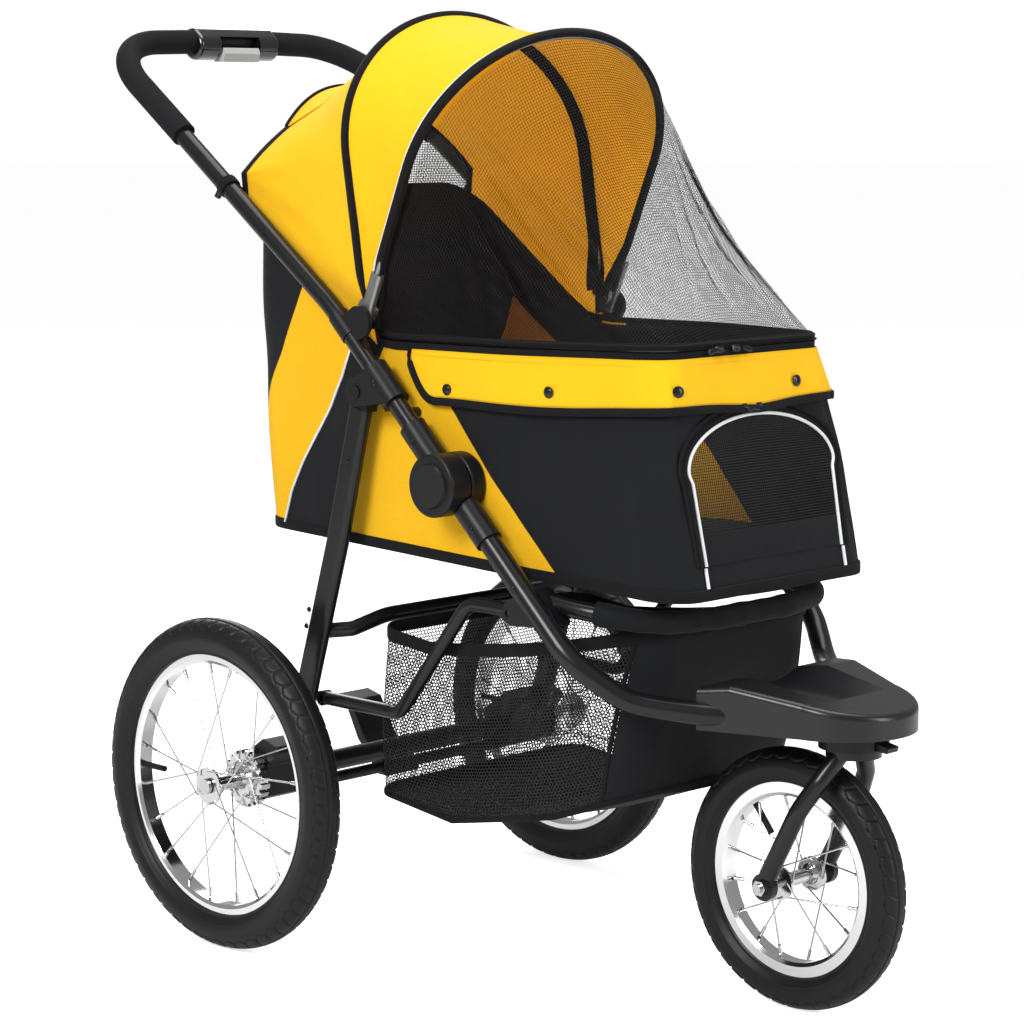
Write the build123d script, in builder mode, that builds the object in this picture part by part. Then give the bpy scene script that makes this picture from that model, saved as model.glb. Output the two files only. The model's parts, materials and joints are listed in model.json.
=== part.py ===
# Three-wheeled pet stroller, unfolded.
# Millimetres. +X forward, +Y to the left, +Z up. Origin on the floor, under the middle.
import os
from math import cos, degrees, pi, radians, sin, tan

from build123d import *

os.makedirs("parts", exist_ok=True)

# ---- Driving dimensions -------------------------------------------------------------
WHEELBASE = 627.0
REAR_AXLE = (-220.0, 195.0)            # x, z
FRONT_AXLE = (REAR_AXLE[0] + WHEELBASE, 145.0)
TRACK = 574.0                          # rear wheel centre to rear wheel centre
FRAME_Y = 205.0                        # side tubes lie in the planes y = +-FRAME_Y
LINK_Y = 186.0                         # link bars run inboard of the side tubes

HUB = (80.0, 567.0)                    # fold hinge, x, z
LEG_PIVOT = (-57.0, 660.0)
LINK_PIVOT = (168.0, 433.0)
LINK_END = (-152.0, 292.0)             # where the link bar meets the leg
CANOPY_PIVOT = (-62.0, 737.0)
SWIVEL_X = FRONT_AXLE[0] + 77.0        # caster trail of 77

HANDLE_TUBE = 22.0
FRONT_TUBE = 25.0
TUBE_WALL = 1.5
HANDLE_SLOPE = 44.1                    # degrees, hub to bend
GRIP_SLOPE = 36.2                      # degrees, bend to grip
BEND_X = -110.0
HANDLE_END = (-537.0, 1060.0)          # middle of the cross grip, x, z
GRIP_OUTER = 30.0
HOUSING_LENGTH = 130.0

HUB_RADIUS = 35.0
SLEEVE_OUTER = 31.0
RAIL_TUBE = 20.0
LINK_TUBE = 16.0
CROSS_TUBE = 18.0
LEG_SIDE, LEG_ACROSS = 31.0, 17.0      # oval leg tube, side view and front view
AXLE_TUBE = 25.0
AXLE_ROD = 12.0
RUNNING_FIT = 0.05                     # radial clearance of turning fits
SOFT_GAP = 1.0                         # fabric stands this far off its neighbours

CABIN_WALL = 4.0
CANOPY_WALL = 4.0
HOOP_WIRE = 6.0
REAR_HOOP_HALF = 193.0                 # inside the front hoop, so that the bow tips back past it
FRONT_HOOP_HALF = 203.0
REAR_HOOP_LEAN = -9.5                  # degrees from upright, + is forward
FRONT_HOOP_LEAN = 22.8

REAR_WHEEL = dict(tyre=195.0, section=23.0, rim=158.5, rim_half=12.0, spokes=20,
                  flange=22.0, flange_in=-31.0, flange_out=20.0, axle=AXLE_ROD / 2,
                  valve_angle=180.0)
FRONT_WHEEL = dict(tyre=145.0, section=20.5, rim=108.0, rim_half=11.0, spokes=16,
                   flange=19.0, flange_in=-28.0, flange_out=28.0, axle=5.0,
                   valve_angle=128.0)

SIDES = (("right", -1), ("left", 1))


# ---- Shared shapes ------------------------------------------------------------------
def save(part, name):
    part.label = name
    export_step(part, f"parts/{name}.step")


def bent_path(points, radii):
    """Straight runs joined by tangent arcs, drawn into the open BuildLine."""
    points = [Vector(*p) for p in points]
    start = points[0]
    for before, corner, after, radius in zip(points, points[1:-1], points[2:], radii):
        run_in = (corner - before).normalized()
        run_out = (after - corner).normalized()
        half_turn = radians(run_in.get_angle(run_out)) / 2
        arc_start = corner - run_in * radius * tan(half_turn)
        arc_end = corner + run_out * radius * tan(half_turn)
        sagitta = radius * (1 / cos(half_turn) - 1)
        middle = corner + (run_out - run_in).normalized() * sagitta
        Line(start, arc_start)
        ThreePointArc(arc_start, middle, arc_end)
        start = arc_end
    Line(start, points[-1])


def tube(points, radii, outer, wall=0.0):
    """A round tube, or a solid bar where wall is 0, along a bent path."""
    with BuildPart() as bar:
        with BuildLine() as path:
            bent_path(points, radii)
        with BuildSketch(Plane(origin=path.line @ 0, z_dir=path.line % 0)):
            Circle(outer / 2)
            if wall:
                Circle(outer / 2 - wall, mode=Mode.SUBTRACT)
        sweep()
    return bar.part


def y_cylinder(x, z, y_from, y_to, radius, mode=Mode.ADD):
    """A cylinder across the stroller, inside the open BuildPart."""
    with Locations(Location((x, (y_from + y_to) / 2, z), (90, 0, 0))):
        Cylinder(radius, abs(y_to - y_from), mode=mode)


def rod(start, end, radius, mode=Mode.ADD):
    """A straight round rod between two points, inside the open BuildPart."""
    run = Vector(*end) - Vector(*start)
    with BuildSketch(Plane(origin=start, z_dir=run)) as disc:
        Circle(radius)
    extrude(disc.sketch, amount=run.length, mode=mode)


def along(start, angle, distance):
    """The x, z point at a distance from start, at an angle above +X."""
    return (start[0] + distance * cos(radians(angle)), start[1] + distance * sin(radians(angle)))


def rivet_heads(places, radius=4.0, height=2.0):
    """Domed rivet heads, in the open BuildPart. Each place is x, z, the face's |y| and its side."""
    for x, z, face, sign in places:
        with BuildSketch(Plane((x, sign * face, z), x_dir=(1, 0, 0), z_dir=(0, sign, 0))) as head:
            Circle(radius)
        extrude(head.sketch, amount=height, taper=35)


# ---- Handle frame -------------------------------------------------------------------
bend = (BEND_X, HUB[1] + (HUB[0] - BEND_X) * tan(radians(HANDLE_SLOPE)))
grip_corner_z = bend[1] + (BEND_X + 530) * tan(radians(GRIP_SLOPE))
handle_corner = (-528.0, grip_corner_z - 4)
tube_start = along(HUB, 180 - HANDLE_SLOPE, HUB_RADIUS + 3)
handle_points = [(tube_start[0], -FRAME_Y, tube_start[1]), (bend[0], -FRAME_Y, bend[1]),
                 (handle_corner[0], -FRAME_Y, handle_corner[1]),
                 (HANDLE_END[0], 0, HANDLE_END[1]),
                 (handle_corner[0], FRAME_Y, handle_corner[1]),
                 (bend[0], FRAME_Y, bend[1]), (tube_start[0], FRAME_Y, tube_start[1])]
handle_radii = [260, 92, 500, 92, 260]
handle_tube = tube(handle_points, handle_radii, HANDLE_TUBE, TUBE_WALL)
handle_core = tube(handle_points, handle_radii, HANDLE_TUBE)
save(handle_tube, "handle_tube")

# Foam grips cover the U above a point on the straight run, up to the middle housing.
grip_start = (-374.0, bend[1] + (BEND_X + 374) * tan(radians(GRIP_SLOPE)))
grip_points = [(grip_start[0], -FRAME_Y, grip_start[1])] + handle_points[2:5]
grip_points.append((grip_start[0], FRAME_Y, grip_start[1]))
foam = tube(grip_points, handle_radii[1:4], GRIP_OUTER)
for side, sign in SIDES:
    with BuildPart() as grip:
        add(foam)
        add(handle_core, mode=Mode.SUBTRACT)
        half = 1000.0
        with Locations((0, sign * (HOUSING_LENGTH / 2 - half / 2), HANDLE_END[1])):
            Box(4 * half, half, 2 * half, mode=Mode.SUBTRACT)
    save(grip.part, f"grip_{side}")

# The middle housing: a rounded box round the tube, dipping under it for the trigger.
with BuildPart() as handle_housing:
    with BuildSketch(Plane((HANDLE_END[0], -HOUSING_LENGTH / 2, HANDLE_END[1]),
                           x_dir=(1, 0, 0), z_dir=(0, 1, 0))):
        with Locations((6, 4)):
            SlotOverall(43, 36, rotation=38)
    extrude(amount=HOUSING_LENGTH)
    fillet(handle_housing.edges().group_by(Axis.Y)[0], 5)
    fillet(handle_housing.edges().group_by(Axis.Y)[-1], 5)
    add(handle_core, mode=Mode.SUBTRACT)
    with Locations((-519.0, 0, HANDLE_END[1] - 15)):
        Box(24, 64, 40, mode=Mode.SUBTRACT)
save(handle_housing.part, "handle_housing")

# The release trigger sits in the housing's pocket and is squeezed up towards the tube.
with BuildPart() as release_trigger:
    with BuildSketch(Plane.XZ.offset(-29)):
        with BuildLine():
            Polyline((-529, 1034), (-511, 1034), (-508, 1044), (-511, 1052), (-529, 1043), close=True)
        make_face()
    extrude(amount=58)
    fillet(release_trigger.edges().filter_by(Axis.Y), 1.5)
save(release_trigger.part, "release_trigger")

# ---- Fold hubs ----------------------------------------------------------------------
FRONT_SLOPE = 43.7
SLEEVE_END = 84.0
sleeve_gap = HUB_RADIUS + 1.5
front_start = along(HUB, -FRONT_SLOPE, HUB_RADIUS + 3)
inner_face, outer_face = 184.0, 240.0
mid_face = FRAME_Y


def hub_half(sign, angle, core, disc_from, disc_to, cut_from, cut_to, name):
    """A hub disc with the sleeve that holds a tube, cleared round the other half."""
    near, far = along(HUB, angle, 20), along(HUB, angle, SLEEVE_END)
    with BuildPart() as half_hub:
        y_cylinder(*HUB, sign * disc_from, sign * disc_to, HUB_RADIUS)
        fillet(half_hub.edges().filter_by(GeomType.CIRCLE), 3)
        rod((near[0], sign * FRAME_Y, near[1]), (far[0], sign * FRAME_Y, far[1]), SLEEVE_OUTER / 2)
        y_cylinder(*HUB, sign * cut_from, sign * cut_to, sleeve_gap, mode=Mode.SUBTRACT)
        y_cylinder(*HUB, sign * inner_face, sign * outer_face, 6, mode=Mode.SUBTRACT)
        add(core, mode=Mode.SUBTRACT)
    save(half_hub.part, name)


front_points = {}
front_cores = {}
for side, sign in SIDES:
    front_points[side] = [(front_start[0], sign * FRAME_Y, front_start[1]),
                          (262, sign * FRAME_Y, HUB[1] - 182 * tan(radians(FRONT_SLOPE))),
                          (310, sign * 168, 350), (388, sign * 107, 337),
                          (452, sign * 34, 337)]
    radii = [90, 90, 400]
    front_cores[side] = tube(front_points[side], radii, FRONT_TUBE)
    save(tube(front_points[side], radii, FRONT_TUBE, TUBE_WALL), f"front_tube_{side}")
    hub_half(sign, 180 - HANDLE_SLOPE, handle_core, mid_face + 1, outer_face - 4,
             inner_face - 8, mid_face + 0.7, f"upper_hub_{side}")
    hub_half(sign, -FRONT_SLOPE, front_cores[side], inner_face, mid_face - 0.3,
             mid_face, outer_face + 8, f"lower_hub_{side}")

with BuildPart() as hub_caps:
    for side, sign in SIDES:
        with BuildSketch(Plane((HUB[0], sign * (outer_face - 4), HUB[1]),
                               x_dir=(1, 0, 0), z_dir=(0, sign, 0))):
            Circle(25)
        extrude(amount=4, taper=20)
save(hub_caps.part, "hub_caps")

# ---- Leg brackets, canopy mounts and studs on the handle tube -------------------------
def leg_bracket(sign):
    """A moulded clamp on the handle tube with two ears round the leg's top."""
    low, high = along(HUB, 180 - HANDLE_SLOPE, 120), along(HUB, 180 - HANDLE_SLOPE, 171)
    with BuildPart() as bracket:
        rod((low[0], sign * FRAME_Y, low[1]), (high[0], sign * FRAME_Y, high[1]), 16)
        with BuildSketch(Plane.XZ.offset(-sign * FRAME_Y)):
            with BuildLine():
                Polyline((LEG_PIVOT[0] - 12, LEG_PIVOT[1] - 9), (LEG_PIVOT[0] + 9, LEG_PIVOT[1] - 15),
                         low, high, (LEG_PIVOT[0] - 8, LEG_PIVOT[1] + 13), close=True)
            make_face()
            with Locations(LEG_PIVOT):
                Circle(17)
        extrude(amount=16, both=True)
        with BuildSketch(Plane.XZ.offset(-sign * FRAME_Y)):
            with Locations(LEG_PIVOT):
                Circle(24)
            with BuildLine():
                leg_foot = along(LEG_PIVOT, -105, 60)
                Polyline((leg_foot[0] - 24, leg_foot[1]), (leg_foot[0] + 85, leg_foot[1]),
                         (LEG_PIVOT[0] + 18, LEG_PIVOT[1] + 10), (LEG_PIVOT[0] - 24, LEG_PIVOT[1]),
                         close=True)
            make_face()
        extrude(amount=LEG_ACROSS / 2 + 1, both=True, mode=Mode.SUBTRACT)
        add(handle_core, mode=Mode.SUBTRACT)
        y_cylinder(*LEG_PIVOT, -300, 300, 5, mode=Mode.SUBTRACT)
    return bracket.part


with BuildPart() as leg_brackets:
    for side, sign in SIDES:
        add(leg_bracket(sign))
save(leg_brackets.part, "leg_brackets")

mount_low = along(bend, -HANDLE_SLOPE, 12)
mount_high = along(bend, -HANDLE_SLOPE, 44)
with BuildPart() as canopy_mounts:
    for side, sign in SIDES:
        rod((mount_low[0], sign * FRAME_Y, mount_low[1]),
            (mount_high[0], sign * FRAME_Y, mount_high[1]), 12.5)
        y_cylinder(*CANOPY_PIVOT, sign * (FRAME_Y + 2), sign * (FRAME_Y + 8), 19)
        with BuildSketch(Plane.XZ.offset(-sign * (FRAME_Y + 5))):
            with BuildLine():
                Polyline(mount_low, mount_high, (CANOPY_PIVOT[0] + 8, CANOPY_PIVOT[1] - 8),
                         (CANOPY_PIVOT[0] - 8, CANOPY_PIVOT[1] + 10), close=True)
            make_face()
        extrude(amount=3, both=True)
    add(handle_core, mode=Mode.SUBTRACT)
save(canopy_mounts.part, "canopy_mounts")

stud_at = (-300.0, bend[1] + (BEND_X + 300) * tan(radians(GRIP_SLOPE)))
peg_at = along(HUB, 180 - HANDLE_SLOPE, 104)
with BuildPart() as fabric_studs:
    for side, sign in SIDES:
        foot = along(stud_at, -90 - GRIP_SLOPE, 22)
        rod((stud_at[0], sign * FRAME_Y, stud_at[1]), (foot[0], sign * FRAME_Y, foot[1]), 4)
        y_cylinder(*peg_at, sign * 184, sign * 205, 6)
    add(handle_core, mode=Mode.SUBTRACT)
save(fabric_studs.part, "fabric_studs")

with BuildPart() as handle_fasteners:
    rivet_heads([(*along(HUB, 180 - HANDLE_SLOPE, distance), face, sign) for side, sign in SIDES
                 for distance, face in ((62, FRAME_Y + SLEEVE_OUTER / 2), (150, FRAME_Y + 16))])
    for side, sign in SIDES:
        y_cylinder(*LEG_PIVOT, sign * (FRAME_Y - 16), sign * (FRAME_Y + 16), 5 - RUNNING_FIT)
        y_cylinder(*LEG_PIVOT, sign * (FRAME_Y + 16), sign * (FRAME_Y + 18), 8)
save(handle_fasteners.part, "handle_fasteners")

# ---- Rear legs, feet, axle and brake --------------------------------------------------
leg_top = along(LEG_PIVOT, -105, 20)
leg_foot = (REAR_AXLE[0] + 35, REAR_AXLE[1] + 27)
knee = (-103.0, 486.0)
LEG_WALL = 1.5
LEG_Y = FRAME_Y + 2


def leg_tube(sign, wall=0.0):
    """The bent oval leg of one side, solid where the wall is 0."""
    with BuildPart() as leg:
        with BuildLine() as leg_line:
            bent_path([(leg_top[0], sign * LEG_Y, leg_top[1]), (knee[0], sign * LEG_Y, knee[1]),
                       (leg_foot[0], sign * LEG_Y, leg_foot[1])], [500])
        with BuildSketch(Plane(origin=leg_line.line @ 0, x_dir=(0, 1, 0), z_dir=leg_line.line % 0)):
            SlotOverall(LEG_SIDE, LEG_ACROSS - 2, rotation=90)
            if wall:
                SlotOverall(LEG_SIDE - 2 * wall, LEG_ACROSS - 2 - 2 * wall, rotation=90,
                            mode=Mode.SUBTRACT)
        sweep()
    return leg.part


leg_cores = {}
for side, sign in SIDES:
    save(leg_tube(sign, LEG_WALL), f"rear_leg_{side}")
    leg_cores[side] = leg_tube(sign)

with BuildPart() as leg_plugs:
    for side, sign in SIDES:
        with BuildSketch(Plane.XZ.offset(-sign * FRAME_Y)):
            with Locations(LEG_PIVOT):
                Circle(15)
            with BuildLine():
                Polyline(along(LEG_PIVOT, 165, 14), along(leg_top, 165, 15), along(leg_top, -15, 15),
                         along(LEG_PIVOT, -15, 14), close=True)
            make_face()
        extrude(amount=LEG_ACROSS / 2 - 0.2, both=True)
    add(leg_cores["right"], mode=Mode.SUBTRACT)
    add(leg_cores["left"], mode=Mode.SUBTRACT)
    y_cylinder(*LEG_PIVOT, -300, 300, 5, mode=Mode.SUBTRACT)
save(leg_plugs.part, "leg_plugs")

foot_in, foot_out = 166.0, 240.0
brake_axis = (REAR_AXLE[0] - 8, REAR_AXLE[1] - 24)


def rear_foot(side, sign):
    """The moulded foot that joins a leg to the axle tube."""
    with BuildPart() as foot:
        with BuildSketch(Plane.XZ.offset(-sign * foot_in)):
            with BuildLine():
                Polyline((REAR_AXLE[0] - 24, REAR_AXLE[1] - 38), (REAR_AXLE[0] + 22, REAR_AXLE[1] - 22),
                         (REAR_AXLE[0] + 26, REAR_AXLE[1] + 16), (leg_foot[0] + 18, leg_foot[1] + 12),
                         (leg_foot[0] - 16, leg_foot[1] + 22), (REAR_AXLE[0] - 22, REAR_AXLE[1] + 20),
                         close=True)
            make_face()
        extrude(amount=-sign * (foot_out - foot_in))
        fillet(foot.edges().filter_by(Axis.Y), 6)
        y_cylinder(*REAR_AXLE, sign * foot_in, sign * (foot_in + 30), AXLE_TUBE / 2, mode=Mode.SUBTRACT)
        y_cylinder(*REAR_AXLE, sign * foot_in, sign * foot_out, AXLE_ROD / 2, mode=Mode.SUBTRACT)
        y_cylinder(*brake_axis, sign * foot_in, sign * (foot_in + 16), 7 + RUNNING_FIT,
                   mode=Mode.SUBTRACT)
        add(leg_cores[side], mode=Mode.SUBTRACT)
    return foot.part


with BuildPart() as rear_feet:
    for side, sign in SIDES:
        add(rear_foot(side, sign))
save(rear_feet.part, "rear_feet")

with BuildPart() as axle_tube:
    y_cylinder(*REAR_AXLE, -foot_in - 30, foot_in + 30, AXLE_TUBE / 2)
    y_cylinder(*REAR_AXLE, -foot_in - 30, foot_in + 30, AXLE_TUBE / 2 - 2, mode=Mode.SUBTRACT)
save(axle_tube.part, "axle_tube")

AXLE_END = TRACK / 2 + 23
with BuildPart() as rear_axle:
    y_cylinder(*REAR_AXLE, -AXLE_END, AXLE_END, AXLE_ROD / 2)
    for side, sign in SIDES:
        y_cylinder(*REAR_AXLE, sign * AXLE_END, sign * (AXLE_END + 4), 9)
save(rear_axle.part, "rear_axle")

bar_y = LEG_Y - LEG_ACROSS / 2 + 1
crossbar_x = -96.0
with BuildPart() as rear_crossbar:
    add(tube([(-132, -bar_y, 376), (-112, -178, 378), (crossbar_x, -140, 392),
              (crossbar_x, 140, 392), (-112, 178, 378), (-132, bar_y, 376)],
             [14, 40, 40, 14], CROSS_TUBE, TUBE_WALL))
    add(leg_cores["right"], mode=Mode.SUBTRACT)
    add(leg_cores["left"], mode=Mode.SUBTRACT)
save(rear_crossbar.part, "rear_crossbar")

with BuildPart() as leg_rivets:
    rivet_heads([(x, z, LEG_Y + (LEG_ACROSS - 2) / 2, sign) for side, sign in SIDES
                 for x, z in ((-146, 401), (-151, 381), (-80, 580))], radius=3.5)
save(leg_rivets.part, "leg_rivets")

with BuildPart() as brake_bar:
    y_cylinder(*brake_axis, -foot_in - 15, foot_in + 15, 7)

with BuildPart() as brake_pedal:
    with BuildSketch(Plane.XZ.offset(-26)):
        with BuildLine():
            Polyline((brake_axis[0] - 12, brake_axis[1] - 10), (brake_axis[0] + 11, brake_axis[1] - 10),
                     (brake_axis[0] + 11, brake_axis[1] + 6), (brake_axis[0] - 14, brake_axis[1] + 12),
                     (-262, 206), (-286, 246), (-312, 252), (-310, 244), (-292, 238),
                     (-272, 200), (-248, 176), close=True)
        make_face()
    extrude(amount=52)
    fillet(brake_pedal.edges().filter_by(Axis.Y), 1.5)
    y_cylinder(*brake_axis, -40, 40, 7, mode=Mode.SUBTRACT)
save(Compound(children=[brake_bar.part, brake_pedal.part]), "brake_pedal")

# ---- Link bars and the basket rail ----------------------------------------------------
link_knees = [(89.0, LINK_PIVOT[1]), (-24.0, LINK_END[1])]
for side, sign in SIDES:
    with BuildPart() as link_bar:
        add(tube([(LINK_PIVOT[0] - 12, sign * LINK_Y, LINK_PIVOT[1]),
                  (link_knees[0][0], sign * LINK_Y, link_knees[0][1]),
                  (link_knees[1][0], sign * LINK_Y, link_knees[1][1]),
                  (LINK_END[0] + 10, sign * LINK_Y, LINK_END[1])], [34, 24], LINK_TUBE, TUBE_WALL))
    save(link_bar.part, f"link_bar_{side}")

with BuildPart() as link_ends:
    for side, sign in SIDES:
        for x, z, reach in ((*LINK_PIVOT, -12), (*LINK_END, 10)):
            y_cylinder(x, z, sign * (LINK_Y - 6), sign * (LINK_Y + 6), 9)
            with BuildSketch(Plane((x + reach, sign * LINK_Y, z), z_dir=(-reach, 0, 0))):
                Circle(LINK_TUBE / 2)
            extrude(amount=6)
            y_cylinder(x, z, sign * (LINK_Y - 6), sign * (LINK_Y + 6), 4, mode=Mode.SUBTRACT)
save(link_ends.part, "link_ends")

RAIL_Z = 447.0
rail_front_x = 340.0
rail_start = (186.0, 181.0, RAIL_Z + 2)
rail_points = [(rail_start[0], -rail_start[1], rail_start[2]), (250, -172, 441),
               (324, -140, 433), (rail_front_x, -60, 431), (rail_front_x, 60, 431),
               (324, 140, 433), (250, 172, 441), (rail_start[0], rail_start[1], rail_start[2])]
rail_radii = [150, 60, 60, 60, 60, 150]
rail_core = tube(rail_points, rail_radii, RAIL_TUBE)
save(tube(rail_points, rail_radii, RAIL_TUBE, TUBE_WALL), "basket_rail")



def rail_bracket(side, sign):
    """The moulded clamp between a front tube, the basket rail and the link pivot."""
    with BuildPart() as bracket:
        with BuildSketch(Plane.XZ.offset(-sign * FRAME_Y)):
            with BuildLine():
                Polyline((LINK_PIVOT[0] - 11, LINK_PIVOT[1] - 6), (LINK_PIVOT[0] + 4, LINK_PIVOT[1] - 13),
                         (232, 424), (216, 452), (196, 462), (LINK_PIVOT[0] - 4, LINK_PIVOT[1] + 12),
                         close=True)
            make_face()
        extrude(amount=sign * (FRAME_Y - 170))
        fillet(bracket.edges().filter_by(Axis.Y), 4)
        with Locations((LINK_PIVOT[0] - 8, sign * LINK_Y, LINK_PIVOT[1])):
            Box(44, LINK_TUBE + 1, 50, mode=Mode.SUBTRACT)
        y_cylinder(*LINK_PIVOT, sign * (LINK_Y - 20), sign * (LINK_Y + 25), 4, mode=Mode.SUBTRACT)
        add(front_cores[side], mode=Mode.SUBTRACT)
        add(rail_core, mode=Mode.SUBTRACT)
    return bracket.part


with BuildPart() as rail_brackets:
    for side, sign in SIDES:
        add(rail_bracket(side, sign))
save(rail_brackets.part, "rail_brackets")

with BuildPart() as frame_fasteners:
    for side, sign in SIDES:
        y_cylinder(*HUB, sign * inner_face, sign * (outer_face - 4), 6 - RUNNING_FIT)
        y_cylinder(*LINK_PIVOT, sign * 171, sign * (FRAME_Y - 2), 4 - RUNNING_FIT)
    rivet_heads([(*along(HUB, -FRONT_SLOPE, distance), face, sign) for side, sign in SIDES
                 for distance, face in ((66, FRAME_Y + SLEEVE_OUTER / 2),
                                        (150, FRAME_Y + FRONT_TUBE / 2))])
save(frame_fasteners.part, "frame_fasteners")

# ---- Nose, swivel and fork --------------------------------------------------------------
NOSE_LOW, NOSE_TOP = 322.0, 372.0
NOSE_REAR, NOSE_ROUND, NOSE_TIP = (368.0, 122.0), (478.0, 82.0), 548.0


def nose_block(inset, low, top):
    """The nose's plan outline between two heights, drawn in by an inset."""
    (rear_x, rear_y), (round_x, round_y) = NOSE_REAR, NOSE_ROUND
    with BuildPart() as block:
        with BuildSketch(Plane.XY.offset(low)):
            with BuildLine():
                Line((rear_x, -rear_y + inset), (round_x, -round_y + inset))
                ThreePointArc((round_x, -round_y + inset), (NOSE_TIP - inset, 0),
                              (round_x, round_y - inset))
                Line((round_x, round_y - inset), (rear_x, rear_y - inset))
                Line((rear_x, rear_y - inset), (rear_x, -rear_y + inset))
            make_face()
        extrude(amount=top - low)
    return block.part


with BuildPart() as nose_cover:
    add(nose_block(0, NOSE_LOW, NOSE_TOP))
    # the top falls gently to the tip
    with BuildSketch(Plane.XZ.offset(-200)):
        with BuildLine():
            Polyline((350, 366), (400, 372), (560, 346), (560, 400), (350, 400), close=True)
        make_face()
    extrude(amount=400, mode=Mode.SUBTRACT)
    top_edges = nose_cover.edges().filter_by(lambda e: e.center().Z > 345 and e.center().X > 372)
    fillet(top_edges.filter_by(lambda e: abs(e.center().Y) > 20 or e.center().X > 500), 7)
    # and is scooped between the two raised edges
    with Locations(Location((400, 0, 452), (0, 96, 0))):
        Cylinder(98, 190, mode=Mode.SUBTRACT)
    add(nose_block(3, NOSE_LOW - 5, 343), mode=Mode.SUBTRACT)
    add(front_cores["right"], mode=Mode.SUBTRACT)
    add(front_cores["left"], mode=Mode.SUBTRACT)
save(nose_cover.part, "nose_cover")

PLATE_TOP, PLATE_LOW = 317.0, 303.0
STEM = 8.0
with BuildPart() as swivel_housing:
    with BuildSketch(Plane.XY.offset(PLATE_LOW)):
        with Locations((SWIVEL_X, 0)):
            Circle(38)
    extrude(amount=PLATE_TOP - PLATE_LOW)
    with BuildSketch(Plane.XY.offset(PLATE_TOP)):
        with Locations((SWIVEL_X - 15, 0)):
            RectangleRounded(62, 60, 12)
    extrude(amount=24)
    with BuildSketch(Plane.XY.offset(PLATE_LOW - 1)):
        with Locations((SWIVEL_X, 0)):
            Circle(STEM + RUNNING_FIT)
    extrude(amount=36, mode=Mode.SUBTRACT)
    with Locations((SWIVEL_X + 38, 0, PLATE_LOW + 6)):
        Box(20, 22, 20, mode=Mode.SUBTRACT)
    add(front_cores["right"], mode=Mode.SUBTRACT)
    add(front_cores["left"], mode=Mode.SUBTRACT)
save(swivel_housing.part, "swivel_housing")

LOCK_PIVOT = (SWIVEL_X + 33, 309.0)
with BuildPart() as swivel_lock:
    with BuildSketch(Plane.XZ.offset(-9)):
        with BuildLine():
            Polyline((LOCK_PIVOT[0] - 4, 305), (LOCK_PIVOT[0] + 18, 304), (LOCK_PIVOT[0] + 20, 310),
                     (LOCK_PIVOT[0] + 2, 313.5), (LOCK_PIVOT[0] - 4, 313), close=True)
        make_face()
    extrude(amount=18)
    fillet(swivel_lock.edges().filter_by(Axis.Y), 1)
save(swivel_lock.part, "swivel_lock")

FORK_TUBE = 20.0
crown_top = PLATE_LOW - 0.5
with BuildPart() as fork:
    with BuildSketch(Plane.XY.offset(crown_top - 9)):
        with Locations((SWIVEL_X, 0)):
            Circle(30)
    extrude(amount=9)
    with BuildSketch(Plane.XY.offset(crown_top)):
        with Locations((SWIVEL_X, 0)):
            Circle(STEM)
    extrude(amount=30)
    for side, sign in SIDES:
        add(tube([(SWIVEL_X - 2, sign * 18, crown_top - 3), (SWIVEL_X - 14, sign * 40, 268),
                  (SWIVEL_X - 32, sign * 52, 236), (FRONT_AXLE[0] + 4, sign * 52, 158)],
                 [26, 60], FORK_TUBE))
        y_cylinder(FRONT_AXLE[0], FRONT_AXLE[1], sign * 48, sign * 56, 15)
    with Locations((SWIVEL_X, 0, crown_top + 40)):
        Box(90, 90, 20, mode=Mode.SUBTRACT)
    with BuildSketch(Plane.XY.offset(crown_top)):
        with Locations((SWIVEL_X, 0)):
            Rectangle(120, 120)
            Circle(STEM, mode=Mode.SUBTRACT)
    extrude(amount=30, mode=Mode.SUBTRACT)
    y_cylinder(*FRONT_AXLE, -60, 60, FRONT_WHEEL["axle"], mode=Mode.SUBTRACT)
save(fork.part, "fork")

with BuildPart() as front_axle:
    y_cylinder(*FRONT_AXLE, -66, 66, FRONT_WHEEL["axle"])
    for side, sign in SIDES:
        with BuildSketch(Plane((FRONT_AXLE[0], sign * 56, FRONT_AXLE[1]), x_dir=(1, 0, 0),
                               z_dir=(0, sign, 0))):
            RegularPolygon(9, 6)
        extrude(amount=7)
save(front_axle.part, "front_axle")


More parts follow.
